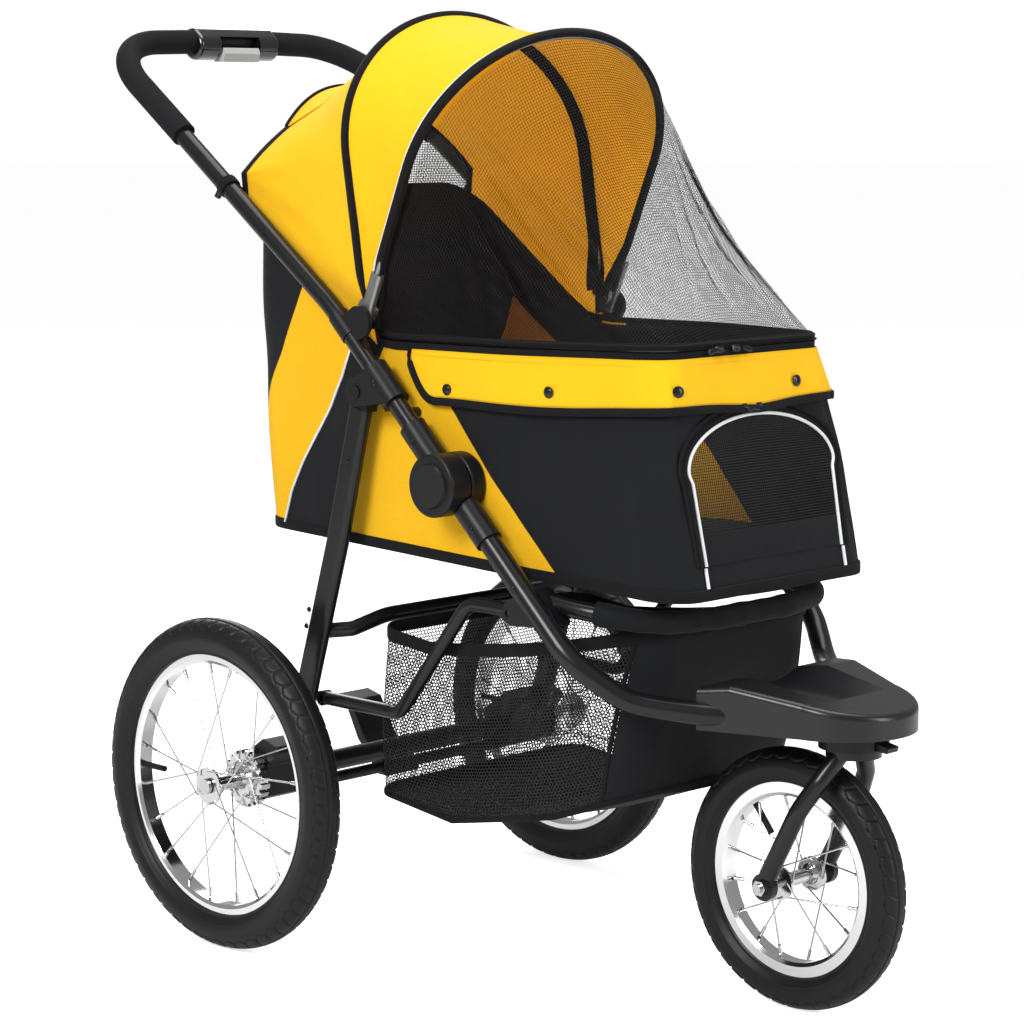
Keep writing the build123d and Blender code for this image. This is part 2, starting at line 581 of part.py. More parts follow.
# ---- Wheels -----------------------------------------------------------------------------
def wheel(centre, outward, spec, tag):
    """Tyre, inner tube with valve, rim, spokes and hub, turning about the Y axis."""
    side_plane = Plane(centre, x_dir=(0, outward, 0), z_dir=(outward, 0, 0))
    axis = Axis(centre, (0, 1, 0))
    section, rim, half = spec["section"], spec["rim"], spec["rim_half"]
    ring = spec["tyre"] - section
    rim_base = rim - 12
    ratchet = tag != "front_wheel"
    bead_in, bead_out = half - 5.5, half - 2.2

    with BuildPart() as tyre:
        with BuildSketch(side_plane):
            with Locations((0, ring)):
                Circle(section)
                Circle(section - 4, mode=Mode.SUBTRACT)
            with Locations((0, rim - 30)):
                Rectangle(2 * section, 60, mode=Mode.SUBTRACT)
            with Locations((0, rim + 1)):
                Rectangle(2 * bead_in, 8, mode=Mode.SUBTRACT)
            for s in (-1, 1):
                with Locations((s * (bead_in + bead_out) / 2, rim - 3)):
                    Rectangle(bead_out - bead_in, 12)
                with Locations((s * (bead_in + section - 8) / 2, rim + 1.5)):
                    Rectangle(section - 8 - bead_in, 3)
        revolve(axis=axis)
    save(tyre.part, f"{tag}_tyre")

    with BuildPart() as rim_part:
        with BuildSketch(side_plane):
            with BuildLine():
                Polyline((-half, rim), (-half, rim_base), (-half + 3, rim_base - 4),
                         (half - 3, rim_base - 4), (half, rim_base), (half, rim), (half - 2, rim),
                         (half - 2, rim_base + 2), (-half + 2, rim_base + 2), (-half + 2, rim),
                         close=True)
            make_face()
        revolve(axis=axis)
        angle = radians(spec["valve_angle"])
        towards = Vector(cos(angle), 0, sin(angle))
        rod(tuple(Vector(*centre) + towards * (rim_base - 12)),
            tuple(Vector(*centre) + towards * (rim + 1)), 3.7, mode=Mode.SUBTRACT)
    save(rim_part.part, f"{tag}_rim")

    with BuildPart() as inner_tube:
        tube_radius = section - 9.5
        tube_ring = rim + 4 + tube_radius
        with BuildSketch(side_plane):
            with Locations((0, tube_ring)):
                Circle(tube_radius)
        revolve(axis=axis)
        rod(tuple(Vector(*centre) + towards * (rim_base - 40)),
            tuple(Vector(*centre) + towards * (rim + 6)), 3.6)
    save(inner_tube.part, f"{tag}_inner_tube")

    flange, bore = spec["flange"], spec["axle"] + RUNNING_FIT
    low, high = spec["flange_in"], spec["flange_out"]
    with BuildPart() as hub:
        with BuildSketch(side_plane):
            with BuildLine():
                Polyline((low - 1.5, bore), (low - 1.5, flange), (low + 1.5, flange),
                         (low + 3, 12), (low + 8, bore + 3), (high - 8, bore + 3), (high - 3, 12),
                         (high - 1.5, flange), (high + 1.5, flange), (high + 1.5, bore), close=True)
            make_face()
            if ratchet:
                with Locations(((-44.5 + low - 1.5) / 2, 0)):
                    with Locations((0, (bore + 34) / 2)):
                        Rectangle(low - 1.5 + 44.5, 34 - bore)
        revolve(axis=axis)
        if ratchet:
            notch = Vector(*centre)
            for k in range(20):
                turn = 2 * pi * k / 20
                at = notch + Vector(cos(turn) * 34, outward * -38.5, sin(turn) * 34)
                with Locations(Location(tuple(at), (0, -degrees(turn), 0))):
                    Box(8, 14, 5, mode=Mode.SUBTRACT)
    save(hub.part, f"{tag}_hub")

    count = spec["spokes"]
    with BuildPart() as spokes:
        for k in range(count):
            rim_turn = 2 * pi * (k + 0.5) / count
            outer_flange = k % 2 == 0
            pull = 1 if (k // 2) % 2 == 0 else -1
            hub_turn = rim_turn + pull * radians(68)
            outside, inside = 5.2, -3.1
            if outer_flange:
                y_hub = high + (outside if pull > 0 else inside)
            elif ratchet:
                y_hub = low + (5.4 if pull > 0 else 2.9)
            else:
                y_hub = low - (outside if pull > 0 else inside)
            hub_at = Vector(cos(hub_turn) * (flange - 3), outward * y_hub, sin(hub_turn) * (flange - 3))
            lean = 2 if outer_flange else -2
            rim_at = Vector(cos(rim_turn) * (rim_base - 5.2), outward * lean,
                            sin(rim_turn) * (rim_base - 5.2))
            run = (rim_at - hub_at).normalized()
            rod(tuple(Vector(*centre) + hub_at), tuple(Vector(*centre) + rim_at), 1.0)
            rod(tuple(Vector(*centre) + rim_at - run * 12), tuple(Vector(*centre) + rim_at), 2.0)
    save(spokes.part, f"{tag}_spokes")


for side, sign in SIDES:
    wheel((REAR_AXLE[0], sign * TRACK / 2, REAR_AXLE[1]), sign, REAR_WHEEL, f"wheel_{side}")
wheel((FRONT_AXLE[0], 0, FRONT_AXLE[1]), 1, FRONT_WHEEL, "front_wheel")

# ---- Cabin: tub, floor board, mat and front door ------------------------------------------
cabin_side = [(-272, 488), (-289, 862), (-112, 728), (-38, 719), (337, 723), (378, 464)]
CABIN_HALF, CABIN_FRONT_HALF, CABIN_CORNER = 178.0, 166.0, 44.0


def tub(inset, raise_top):
    """The cabin's outer block drawn in by an inset, its top raised to open it."""
    with BuildPart() as block:
        with BuildSketch(Plane.XZ.offset(-300)):
            with BuildLine():
                rear_low, rear_top, tube_low, rim_rear, rim_front, toe = cabin_side
                Polyline((rear_low[0] + inset, rear_low[1] + inset),
                         (rear_top[0] + inset, rear_top[1] + raise_top),
                         (tube_low[0], tube_low[1] + raise_top), (rim_rear[0], rim_rear[1] + raise_top),
                         (rim_front[0] - inset - 0.16 * raise_top, rim_front[1] + raise_top),
                         (toe[0] - inset, toe[1] + inset), close=True)
            make_face()
        extrude(amount=600)
        with BuildSketch(Plane.XY.offset(400)):
            with BuildLine():
                Polyline((-300 + inset, -CABIN_HALF + inset), (150, -CABIN_HALF + inset),
                         (400 - inset, -CABIN_FRONT_HALF + inset), (400 - inset, CABIN_FRONT_HALF - inset),
                         (150, CABIN_HALF - inset), (-300 + inset, CABIN_HALF - inset), close=True)
            make_face()
        extrude(amount=600, mode=Mode.INTERSECT)
        upright = block.edges().filter_by(lambda e: e.center().X > 300 and abs(e.center().Y) > 100
                                            and e.length > 150)
        fillet(upright, CABIN_CORNER - inset)
    return block.part


cabin_cavity = tub(CABIN_WALL, 60)
with BuildPart() as door_hole:
    with BuildSketch(Plane.YZ.offset(320)):
        with BuildLine():
            Polyline((-118, 496), (118, 496), (112, 610))
            ThreePointArc((112, 610), (0, 662), (-112, 610))
            Line((-112, 610), (-118, 496))
        make_face()
    extrude(amount=100)
with BuildPart() as cabin:
    add(tub(0, 0))
    add(cabin_cavity, mode=Mode.SUBTRACT)
    add(door_hole.part, mode=Mode.SUBTRACT)
save(cabin.part, "cabin")


def floor_slab(low, high, margin):
    """A slab along the cabin's floor between two heights above its underside."""
    rear_low, toe = cabin_side[0], cabin_side[-1]
    fall = (rear_low[1] - toe[1]) / (toe[0] - rear_low[0])
    rear_x, front_x = rear_low[0] + margin, toe[0] - margin - 14
    rear_z, front_z = rear_low[1] - fall * margin, toe[1] + fall * margin
    with BuildPart() as slab:
        with BuildSketch(Plane.XZ.offset(-300)):
            with BuildLine():
                Polyline((rear_x, rear_z + low), (front_x, front_z + low), (front_x, front_z + high),
                         (rear_x, rear_z + high), close=True)
            make_face()
        extrude(amount=600)
        with BuildSketch(Plane.XY.offset(400)):
            with Locations(((rear_x + front_x) / 2, 0)):
                RectangleRounded(front_x - rear_x + 10, 2 * (CABIN_FRONT_HALF - margin), 54)
        extrude(amount=200, mode=Mode.INTERSECT)
    return slab.part


with BuildPart() as cabin_floor:
    add(floor_slab(CABIN_WALL + SOFT_GAP, 13, 6))
save(cabin_floor.part, "cabin_floor")

with BuildPart() as cabin_mat:
    add(floor_slab(14, 36, 12))
    fillet(cabin_mat.faces().sort_by(Axis.Z)[-1].edges(), 8)
save(cabin_mat.part, "cabin_mat")

# The door is a mesh flap in the arch, its face parallel to the cabin's sloping front.
with BuildPart() as front_door:
    with BuildSketch(Plane.YZ.offset(320)):
        with BuildLine():
            Polyline((-115, 499), (115, 499), (109, 608))
            ThreePointArc((109, 608), (0, 658.5), (-109, 608))
            Line((-109, 608), (-115, 499))
        make_face()
    extrude(amount=100)
    with BuildSketch(Plane.XZ.offset(-200)):
        with BuildLine():
            Polyline((378 - 2.7, 464), (337 - 2.7, 723), (337 - 0.7, 723), (378 - 0.7, 464), close=True)
        make_face()
    extrude(amount=400, mode=Mode.INTERSECT)
save(front_door.part, "front_door")


# ---- Canopy hoops and fabric ------------------------------------------------------------------
def hoop_plane(lean, lift=0.0, shift=0.0, drop=0.0):
    """A plane through the canopy pivots, leaning from upright; u is +Y, v is up the hoop."""
    up = (sin(radians(lean)), 0, cos(radians(lean)))
    origin = (CANOPY_PIVOT[0] + shift + lift * up[0], 0, CANOPY_PIVOT[1] - drop + lift * up[2])
    normal = Vector(0, 1, 0).cross(Vector(*up))
    return Plane(origin, x_dir=(0, 1, 0), z_dir=normal)


def arch_face(plane, half_width, leg, rise, skirt=0.0):
    """An arch face: two legs and a half ellipse, closed along the bottom."""
    with BuildSketch(plane) as arch:
        with BuildLine():
            Line((half_width, -skirt), (half_width, leg))
            EllipticalCenterArc((0, leg), half_width, rise, 0, arc_size=180)
            Line((-half_width, leg), (-half_width, -skirt))
            Line((-half_width, -skirt), (half_width, -skirt))
        make_face()
    return arch.sketch


def hoop(lean, half_width, leg, rise, start, wire=HOOP_WIRE):
    """A wire hoop in a leaning plane, its feet a little above the pivots."""
    plane = hoop_plane(lean)
    with BuildPart() as wire_hoop:
        with BuildLine(plane):
            Line((-half_width, start), (-half_width, leg))
            EllipticalCenterArc((0, leg), half_width, rise, 0, arc_size=180)
            Line((half_width, leg), (half_width, start))
        with BuildSketch(Plane(origin=plane.from_local_coords((-half_width, start)),
                               z_dir=plane.y_dir)):
            Circle(wire / 2)
        sweep()
    return wire_hoop.part


HOOP_LEG, HOOP_RISE = 188.0, 158.0
with BuildPart() as rear_hoop:
    add(hoop(REAR_HOOP_LEAN, REAR_HOOP_HALF, HOOP_LEG, HOOP_RISE, 24))
    for side, sign in SIDES:
        y_cylinder(CANOPY_PIVOT[0] - 3, CANOPY_PIVOT[1] + 14, sign * 190, sign * 196.5, 14)
save(rear_hoop.part, "rear_hoop")

with BuildPart() as front_hoop:
    add(hoop(FRONT_HOOP_LEAN, FRONT_HOOP_HALF, HOOP_LEG, HOOP_RISE, 30))
    socket = hoop_plane(FRONT_HOOP_LEAN)
    for side, sign in SIDES:
        with BuildSketch(Plane(origin=socket.from_local_coords((sign * 202, -6)),
                               x_dir=(0, 1, 0), z_dir=socket.y_dir)):
            RectangleRounded(9, 16, 3)
        extrude(amount=66)
save(front_hoop.part, "front_hoop")

REAR_EDGE_X, REAR_EDGE_Z = -286.0, 892.0


def fan(sections):
    """The solid ruled through a row of arches."""
    faces = [arch_face(*section).face() for section in sections]
    with BuildPart() as block:
        for back, front in zip(faces, faces[1:]):
            loft(sections=[back, front], ruled=True)
    return block.part


def canopy_block(inset, skirt, rear_step, front_step):
    """The canopy's volume: rear edge arch to rear hoop to front hoop."""
    rear = Plane((REAR_EDGE_X + rear_step, 0, REAR_EDGE_Z), x_dir=(0, 1, 0), z_dir=(1, 0, 0))
    middle = hoop_plane(REAR_HOOP_LEAN, HOOP_LIFT)
    front = hoop_plane(FRONT_HOOP_LEAN, HOOP_LIFT, front_step)
    return fan([(rear, 188 - inset, 8, 88 - inset, skirt),
                (middle, 199 - inset, HOOP_LEG - HOOP_LIFT, HOOP_RISE + 6 - inset, skirt),
                (front, 199 - inset, HOOP_LEG - HOOP_LIFT, HOOP_RISE + 2 - inset, skirt)])


HOOP_LIFT = 30.0
with BuildPart() as canopy:
    add(canopy_block(0, 0, 0, -7))
    add(canopy_block(CANOPY_WALL + HOOP_WIRE, 10, 5, 1), mode=Mode.SUBTRACT)
    add(hoop(REAR_HOOP_LEAN, REAR_HOOP_HALF, HOOP_LEG, HOOP_RISE, 10, HOOP_WIRE + 1),
        mode=Mode.SUBTRACT)
    add(hoop(FRONT_HOOP_LEAN, FRONT_HOOP_HALF, HOOP_LEG, HOOP_RISE, 0, HOOP_WIRE + 1),
        mode=Mode.SUBTRACT)
    for side, sign in SIDES:
        y_cylinder(*CANOPY_PIVOT, sign * 189, sign * 220, 26, mode=Mode.SUBTRACT)
        with Locations(Location((CANOPY_PIVOT[0] + 13, sign * 202, CANOPY_PIVOT[1] + 30),
                                (0, FRONT_HOOP_LEAN, 0))):
            Box(18, 11, 84, mode=Mode.SUBTRACT)
save(canopy.part, "canopy")

# The mesh window fans from the front hoop down to the cabin's rim.
RIM_LEAN = 87.0


def window_block(inset, skirt, back_step):
    """The window's volume, from just ahead of the front hoop to just above the rim."""
    back = hoop_plane(FRONT_HOOP_LEAN, 34, 6 + back_step)
    low = hoop_plane(RIM_LEAN, 60, 0, 0)
    return fan([(back, 196 - inset, HOOP_LEG - 34, HOOP_RISE + 2 - inset, skirt),
                (low, 168 - inset, 222, 112 - inset, skirt)])


with BuildPart() as canopy_window:
    add(window_block(0, 0, 0))
    add(window_block(3, 12, -1), mode=Mode.SUBTRACT)
save(canopy_window.part, "canopy_window")

# ---- Basket under the cabin -----------------------------------------------------------------------
basket_side = [(-84, 192), (45, 176), (200, 212), (284, 236), (326, 418), (-80, 380)]
BASKET_HALF, BASKET_WALL = 168.0, 3.0


def basket_block(inset, raise_top):
    """The basket's outer block drawn in by an inset, its top raised to open it."""
    rear, belly, rise, toe, rail, bar = basket_side
    with BuildPart() as block:
        with BuildSketch(Plane.XZ.offset(-300)):
            with BuildLine():
                Polyline((rear[0] + inset, rear[1] + inset), (belly[0], belly[1] + inset),
                         (rise[0], rise[1] + inset), (toe[0] - inset, toe[1] + inset),
                         (rail[0] - inset, rail[1] + raise_top), (bar[0] + inset, bar[1] + raise_top),
                         close=True)
            make_face()
        extrude(amount=600)
        with BuildSketch(Plane.XY.offset(100)):
            with BuildLine():
                Polyline((-200, -BASKET_HALF + inset), (180, -BASKET_HALF + inset),
                         (360, -BASKET_HALF + 55 + inset), (360, BASKET_HALF - 55 - inset),
                         (180, BASKET_HALF - inset), (-200, BASKET_HALF - inset), close=True)
            make_face()
        extrude(amount=500, mode=Mode.INTERSECT)
    return block.part


with BuildPart() as basket:
    add(basket_block(0, 0))
    add(basket_block(BASKET_WALL, 40), mode=Mode.SUBTRACT)
save(basket.part, "basket")
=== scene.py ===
import bmesh
import bpy
import json
import math
import numpy as np
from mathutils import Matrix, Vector


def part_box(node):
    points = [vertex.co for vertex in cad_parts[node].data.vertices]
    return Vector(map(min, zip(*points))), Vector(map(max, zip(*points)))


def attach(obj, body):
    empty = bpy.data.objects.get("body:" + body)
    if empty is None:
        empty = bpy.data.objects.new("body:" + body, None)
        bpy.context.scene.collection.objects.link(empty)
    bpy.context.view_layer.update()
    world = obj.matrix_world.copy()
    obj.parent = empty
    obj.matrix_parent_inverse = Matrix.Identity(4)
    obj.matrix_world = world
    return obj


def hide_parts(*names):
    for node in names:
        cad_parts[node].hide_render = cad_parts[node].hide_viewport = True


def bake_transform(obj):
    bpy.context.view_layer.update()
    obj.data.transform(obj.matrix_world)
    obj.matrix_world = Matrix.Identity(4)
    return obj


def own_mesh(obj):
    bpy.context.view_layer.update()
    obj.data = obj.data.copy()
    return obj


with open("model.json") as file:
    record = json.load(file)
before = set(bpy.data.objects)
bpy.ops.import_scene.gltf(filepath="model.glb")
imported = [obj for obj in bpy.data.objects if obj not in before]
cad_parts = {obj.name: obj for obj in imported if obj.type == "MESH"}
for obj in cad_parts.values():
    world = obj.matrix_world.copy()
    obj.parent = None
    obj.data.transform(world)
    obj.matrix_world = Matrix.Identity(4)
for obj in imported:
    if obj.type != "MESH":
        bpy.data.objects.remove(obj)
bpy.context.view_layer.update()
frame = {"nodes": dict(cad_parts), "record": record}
nodes = frame["nodes"]
print("frame loaded with", len(nodes), "nodes")

# Lengths below are millimetres; makePiece turns them into metres.
perMm = 0.001
rearHoopLean = -9.5


# numbers and surfaces

def ease(start, end, x):
    # 0 before start, 1 after end, smooth between
    t = np.clip((x - start) / (end - start), 0, 1)
    return t * t * (3 - 2 * t)


def unit(v):
    return v / np.maximum(np.linalg.norm(v, axis=-1, keepdims=True), 1e-9)


def ripple(a, b, waves):
    # sum of slanted sine waves: height * sin(ka * a + kb * b + phase)
    total = np.zeros(np.broadcast(a, b).shape)
    for height, ka, kb, phase in waves:
        total = total + height * np.sin(ka * a + kb * b + phase)
    return total


def grid(rows, cols):
    # two arrays of parameters from 0 to 1, down the rows and along the columns
    return np.meshgrid(np.linspace(0, 1, rows), np.linspace(0, 1, cols), indexing="ij")


def stack(x, y, z):
    return np.stack(np.broadcast_arrays(x, y, z), -1)


def facing(points, centre):
    # turns the columns round if the sheet's faces look towards centre
    across = np.cross(np.diff(points, axis=0)[:, :-1], np.diff(points, axis=1)[:-1])
    out = np.sum(across * (points[:-1, :-1] - np.array(centre)))
    return points if out > 0 else points[:, ::-1]


def ring(width, height=None, count=10, power=2.0):
    # rounded section: |a / w| ** power + |b / h| ** power = 1
    height = width if height is None else height
    angle = np.linspace(0, 2 * math.pi, count, endpoint=False)
    c, s = np.cos(angle), np.sin(angle)
    return np.stack([width * np.sign(c) * np.abs(c) ** (2 / power),
                     height * np.sign(s) * np.abs(s) ** (2 / power)], -1)


def sweep(path, section, up=(0, 0, 1), closed=False, taper=None):
    # point = path + a * side + b * up, with side square to the path; open ends close to a pole
    path = np.asarray(path, float)
    ahead = np.roll(path, -1, 0) if closed else np.vstack([path[1:], 2 * path[-1:] - path[-2:-1]])
    behind = np.roll(path, 1, 0) if closed else np.vstack([2 * path[:1] - path[1:2], path[:-1]])
    along = unit(ahead - behind)
    side = unit(np.cross(along, np.broadcast_to(np.asarray(up, float), path.shape)))
    lift = np.cross(side, along)
    size = np.ones(len(path)) if taper is None else np.asarray(taper)
    a = section[None, :, 0:1] * size[:, None, None]
    b = section[None, :, 1:2] * size[:, None, None]
    points = path[:, None] + a * side[:, None] + b * lift[:, None]
    if not closed:
        start = np.repeat(path[:1, None], len(section), 1)
        end = np.repeat(path[-1:, None], len(section), 1)
        points = np.concatenate([start, points, end])
    return {"points": points, "closedRows": closed, "closedCols": True}


def evenly(path, step):
    # the same line with points a step apart
    path = np.asarray(path, float)
    length = np.concatenate([[0], np.cumsum(np.linalg.norm(np.diff(path, axis=0), axis=1))])
    count = max(2, int(round(length[-1] / step)) + 1)
    at = np.linspace(0, length[-1], count)
    return np.stack([np.interp(at, length, path[:, k]) for k in range(3)], -1)


def rounded(path, passes=2):
    # corner cutting: each pass puts points a quarter and three quarters along every run
    path = np.asarray(path, float)
    for _ in range(passes):
        near = path[:-1] * 0.75 + path[1:] * 0.25
        far = path[:-1] * 0.25 + path[1:] * 0.75
        path = np.vstack([path[:1], np.stack([near, far], 1).reshape(-1, 3), path[-1:]])
    return path


def stitches(path, pitch=3.4, length=2.2, width=0.45, up=(0, 0, 1)):
    # a row of flat six-sided threads laid end to end along a line
    line = evenly(path, pitch)
    along = unit(np.gradient(line, axis=0))
    side = unit(np.cross(along, np.broadcast_to(np.asarray(up, float), line.shape)))
    lift = np.cross(side, along)
    corners = np.array([(-1, 0, 0), (-0.6, 1, 0.4), (0.6, 1, 0.4), (1, 0, 0), (0.6, -1, 0.4), (-0.6, -1, 0.4)])
    made = line[:, None] + (corners[None, :, 0:1] * along[:, None] * length / 2
                            + corners[None, :, 1:2] * side[:, None] * width
                            + corners[None, :, 2:3] * lift[:, None] * width * 2)
    top = line + lift * width * 1.6
    return {"threads": made, "tops": top}


# turning surfaces into pieces

def sheetParts(part):
    # vertices, quads and flat coordinates of one grid
    points = part["points"]
    rows, cols = points.shape[:2]
    closedRows, closedCols = part.get("closedRows", False), part.get("closedCols", False)
    i, j = np.meshgrid(np.arange(rows if closedRows else rows - 1),
                       np.arange(cols if closedCols else cols - 1), indexing="ij")
    nextI, nextJ = (i + 1) % rows, (j + 1) % cols
    quads = np.stack([i * cols + j, nextI * cols + j, nextI * cols + nextJ, i * cols + nextJ], -1)
    if part.get("spread"):
        # true lengths along every row and column, measured from the first row and the middle column
        down = np.linalg.norm(np.diff(points, axis=0, prepend=points[:1]), axis=-1).cumsum(0)
        over = np.linalg.norm(np.diff(points, axis=1, prepend=points[:, :1]), axis=-1).cumsum(1)
        over = over - over[:, cols // 2][:, None]
        corner = (np.stack([i, i + 1, i + 1, i], -1), np.stack([j, j, j + 1, j + 1], -1))
        flat = np.stack([down[corner], over[corner]], -1)
        return points.reshape(-1, 3), quads.reshape(-1, 4), flat.reshape(-1, 2)
    down = np.linalg.norm(np.roll(points, -1, 0) - points, axis=-1).mean(1)
    over = np.linalg.norm(np.roll(points, -1, 1) - points, axis=-1).mean(0)
    down, over = np.concatenate([[0], np.cumsum(down)]), np.concatenate([[0], np.cumsum(over)])
    u = np.stack([down[i], down[i + 1], down[i + 1], down[i]], -1)
    v = np.stack([over[j], over[j], over[j + 1], over[j + 1]], -1)
    return points.reshape(-1, 3), quads.reshape(-1, 4), np.stack([u, v], -1).reshape(-1, 2)


def threadParts(part):
    # six triangles for every stitch, round its raised middle
    made, tops = part["threads"], part["tops"]
    count = len(made)
    points = np.concatenate([made, tops[:, None]], 1).reshape(-1, 3)
    base = np.arange(count)[:, None] * 7
    k = np.arange(6)[None]
    faces = np.stack([base + 6 + 0 * k, base + (k + 1) % 6, base + k], -1).reshape(-1, 3)
    return points, faces, np.zeros((len(faces) * 3, 2))


def makePiece(name, parts, materials, weld=True, angle=50):
    # one mesh object from several surfaces, with its flat coordinates in metres
    parts = parts if isinstance(parts, list) else [parts]
    points, faces, flat, finish, start = [], [], [], [], 0
    for part in parts:
        p, f, uv = threadParts(part) if "threads" in part else sheetParts(part)
        points.append(p)
        faces.extend((f + start).tolist())
        flat.append(uv)
        finish.extend([part.get("material", 0)] * len(f))
        start += len(p)
    mesh = bpy.data.meshes.new(name)
    mesh.from_pydata((np.concatenate(points) * perMm).tolist(), [], faces)
    mesh.uv_layers.new(name="flat").data.foreach_set("uv", (np.concatenate(flat) * perMm).ravel())
    mesh.polygons.foreach_set("material_index", finish)
    mesh.polygons.foreach_set("use_smooth", [True] * len(faces))
    for material in materials:
        mesh.materials.append(material)
    if weld:
        shape = bmesh.new()
        shape.from_mesh(mesh)
        bmesh.ops.remove_doubles(shape, verts=shape.verts, dist=2e-6)
        shape.to_mesh(mesh)
        shape.free()
    mesh.set_sharp_from_angle(angle=math.radians(angle))
    piece = bpy.data.objects.new(name, mesh)
    bpy.context.scene.collection.objects.link(piece)
    return piece


def applyAll(piece):
    # bakes the piece's modifiers into its mesh
    bpy.context.view_layer.update()
    made = bpy.data.meshes.new_from_object(piece.evaluated_get(bpy.context.evaluated_depsgraph_get()))
    old = piece.data
    piece.modifiers.clear()
    piece.data = made
    bpy.data.meshes.remove(old)
    return piece


def thicken(piece, thickness, innerSlot=0, rimSlot=0, offset=-1.0):
    wall = piece.modifiers.new("wall", "SOLIDIFY")
    wall.thickness = thickness * perMm
    wall.offset = offset
    wall.material_offset = innerSlot
    wall.material_offset_rim = rimSlot
    wall.use_even_offset = False
    return applyAll(piece)


def soften(piece, levels=1):
    smoother = piece.modifiers.new("soften", "SUBSURF")
    smoother.levels = smoother.render_levels = levels
    return applyAll(piece)


def area(points):
    # area of a grid of points, and its longest rows and columns
    a = points[1:, :-1] - points[:-1, :-1]
    b = points[:-1, 1:] - points[:-1, :-1]
    total = np.linalg.norm(np.cross(a, b), axis=-1).sum()
    down = np.linalg.norm(np.diff(points, axis=0), axis=-1).sum(0).max()
    over = np.linalg.norm(np.diff(points, axis=1), axis=-1).sum(1).max()
    return total * perMm ** 2, down * perMm, over * perMm


# finishes

class Wire:
    # a shader value that takes plain arithmetic
    def __init__(self, finish, socket):
        self.finish, self.socket = finish, socket

    def sum(self, operation, *others):
        return self.finish.node("ShaderNodeMath", {"operation": operation}, dict(enumerate([self, *others])))

    def __add__(self, other):
        return self.sum("ADD", other)

    def __sub__(self, other):
        return self.sum("SUBTRACT", other)

    def __mul__(self, other):
        return self.sum("MULTIPLY", other)

    def __rsub__(self, other):
        return self.finish.node("ShaderNodeMath", {"operation": "SUBTRACT"}, {0: other, 1: self})

    def __lt__(self, other):
        return self.sum("LESS_THAN", other)

    def __gt__(self, other):
        return self.sum("GREATER_THAN", other)

    __radd__ = __add__
    __rmul__ = __mul__


class Finish:
    # one material: a Principled skin, and nodes added by node()
    def __init__(self, name, colour, roughness, **constants):
        self.material = bpy.data.materials.new(name)
        self.material.use_nodes = True
        self.tree = self.material.node_tree
        self.tree.nodes.clear()
        self.skin = self.tree.nodes.new("ShaderNodeBsdfPrincipled")
        out = self.tree.nodes.new("ShaderNodeOutputMaterial")
        self.tree.links.new(self.skin.outputs[0], out.inputs[0])
        self.put("Base Color", colour)
        self.put("Roughness", roughness)
        for key, value in constants.items():
            self.put(key.replace("_", " "), value)

    def put(self, name, value):
        self.feed(self.skin.inputs[name], value)

    def feed(self, socket, value):
        if isinstance(value, Wire):
            self.tree.links.new(value.socket, socket)
        elif isinstance(value, tuple) and len(value) == 3 and socket.type == "RGBA":
            socket.default_value = (*value, 1)
        else:
            socket.default_value = value

    def node(self, kind, settings=None, inputs=None, out=0):
        made = self.tree.nodes.new(kind)
        for key, value in (settings or {}).items():
            if key == "stops":
                for stop, (place, colour) in zip(made.color_ramp.elements, value):
                    stop.position, stop.color = place, colour
            else:
                setattr(made, key, value)
        for key, value in (inputs or {}).items():
            self.feed(made.inputs[key], value)
        return Wire(self, made.outputs[out])

    def mix(self, share, a, b):
        return self.node("ShaderNodeMix", {"data_type": "RGBA"}, {0: share, 6: a, 7: b}, out=2)

    def place(self):
        return self.node("ShaderNodeTexCoord", out=3)

    def flat(self):
        return self.node("ShaderNodeUVMap", {"uv_map": "flat"})

    def split(self, vector):
        node = self.node("ShaderNodeSeparateXYZ", inputs={0: vector}).socket.node
        return [Wire(self, node.outputs[k]) for k in range(3)]

    def noise(self, scale, detail=3.0, vector=None):
        vector = self.place() if vector is None else vector
        return self.node("ShaderNodeTexNoise", {}, {"Vector": vector, "Scale": scale, "Detail": detail})

    def relief(self, height, strength, distance):
        bump = self.node("ShaderNodeBump", {}, {"Height": height, "Strength": strength, "Distance": distance})
        self.put("Normal", bump)
        return self

    def between(self, value, low, high):
        return self.node("ShaderNodeMapRange", {}, {0: value, 3: low, 4: high})


def shaded(colour, factor):
    return tuple(c * factor for c in colour)


yellow = (0.86, 0.47, 0.008)
charcoal = (0.0078, 0.0082, 0.0094)
orange = (0.93, 0.43, 0.014)
weavePitch = 0.0008  # metres between threads of the oxford cloth


def weave(finish):
    # over and under threads: sin(across) * sin(along)
    u, v, _ = finish.split(finish.flat())
    turns = 2 * math.pi / weavePitch
    return (u * turns).sum("SINE") * (v * turns).sum("SINE")


def wovenCloth(name, colour, sheen=0.04, roughness=0.78, paintedGlow=0.0):
    # the emission strength paints a glow in the cloth's own colour, standing in for light through it; none by
    # default
    cloth = Finish(name, colour, roughness, Sheen_Weight=sheen, Sheen_Roughness=0.5, Specular_IOR_Level=0.12,
                   Emission_Color=colour, Emission_Strength=paintedGlow)
    fade = cloth.noise(6.0, 4.0)
    fleck = cloth.noise(900.0, 1.0)
    tone = cloth.mix(fade, shaded(colour, 0.90), shaded(colour, 1.08))
    cloth.put("Base Color", cloth.mix(fleck * 0.35, tone, shaded(colour, 0.72)))
    cloth.put("Roughness", cloth.between(fade, roughness - 0.06, roughness + 0.08))
    crease = cloth.noise(26.0, 3.0) * 3.0
    cloth.relief(weave(cloth) * 0.12 + crease, 0.5, 0.0012)
    return cloth.material


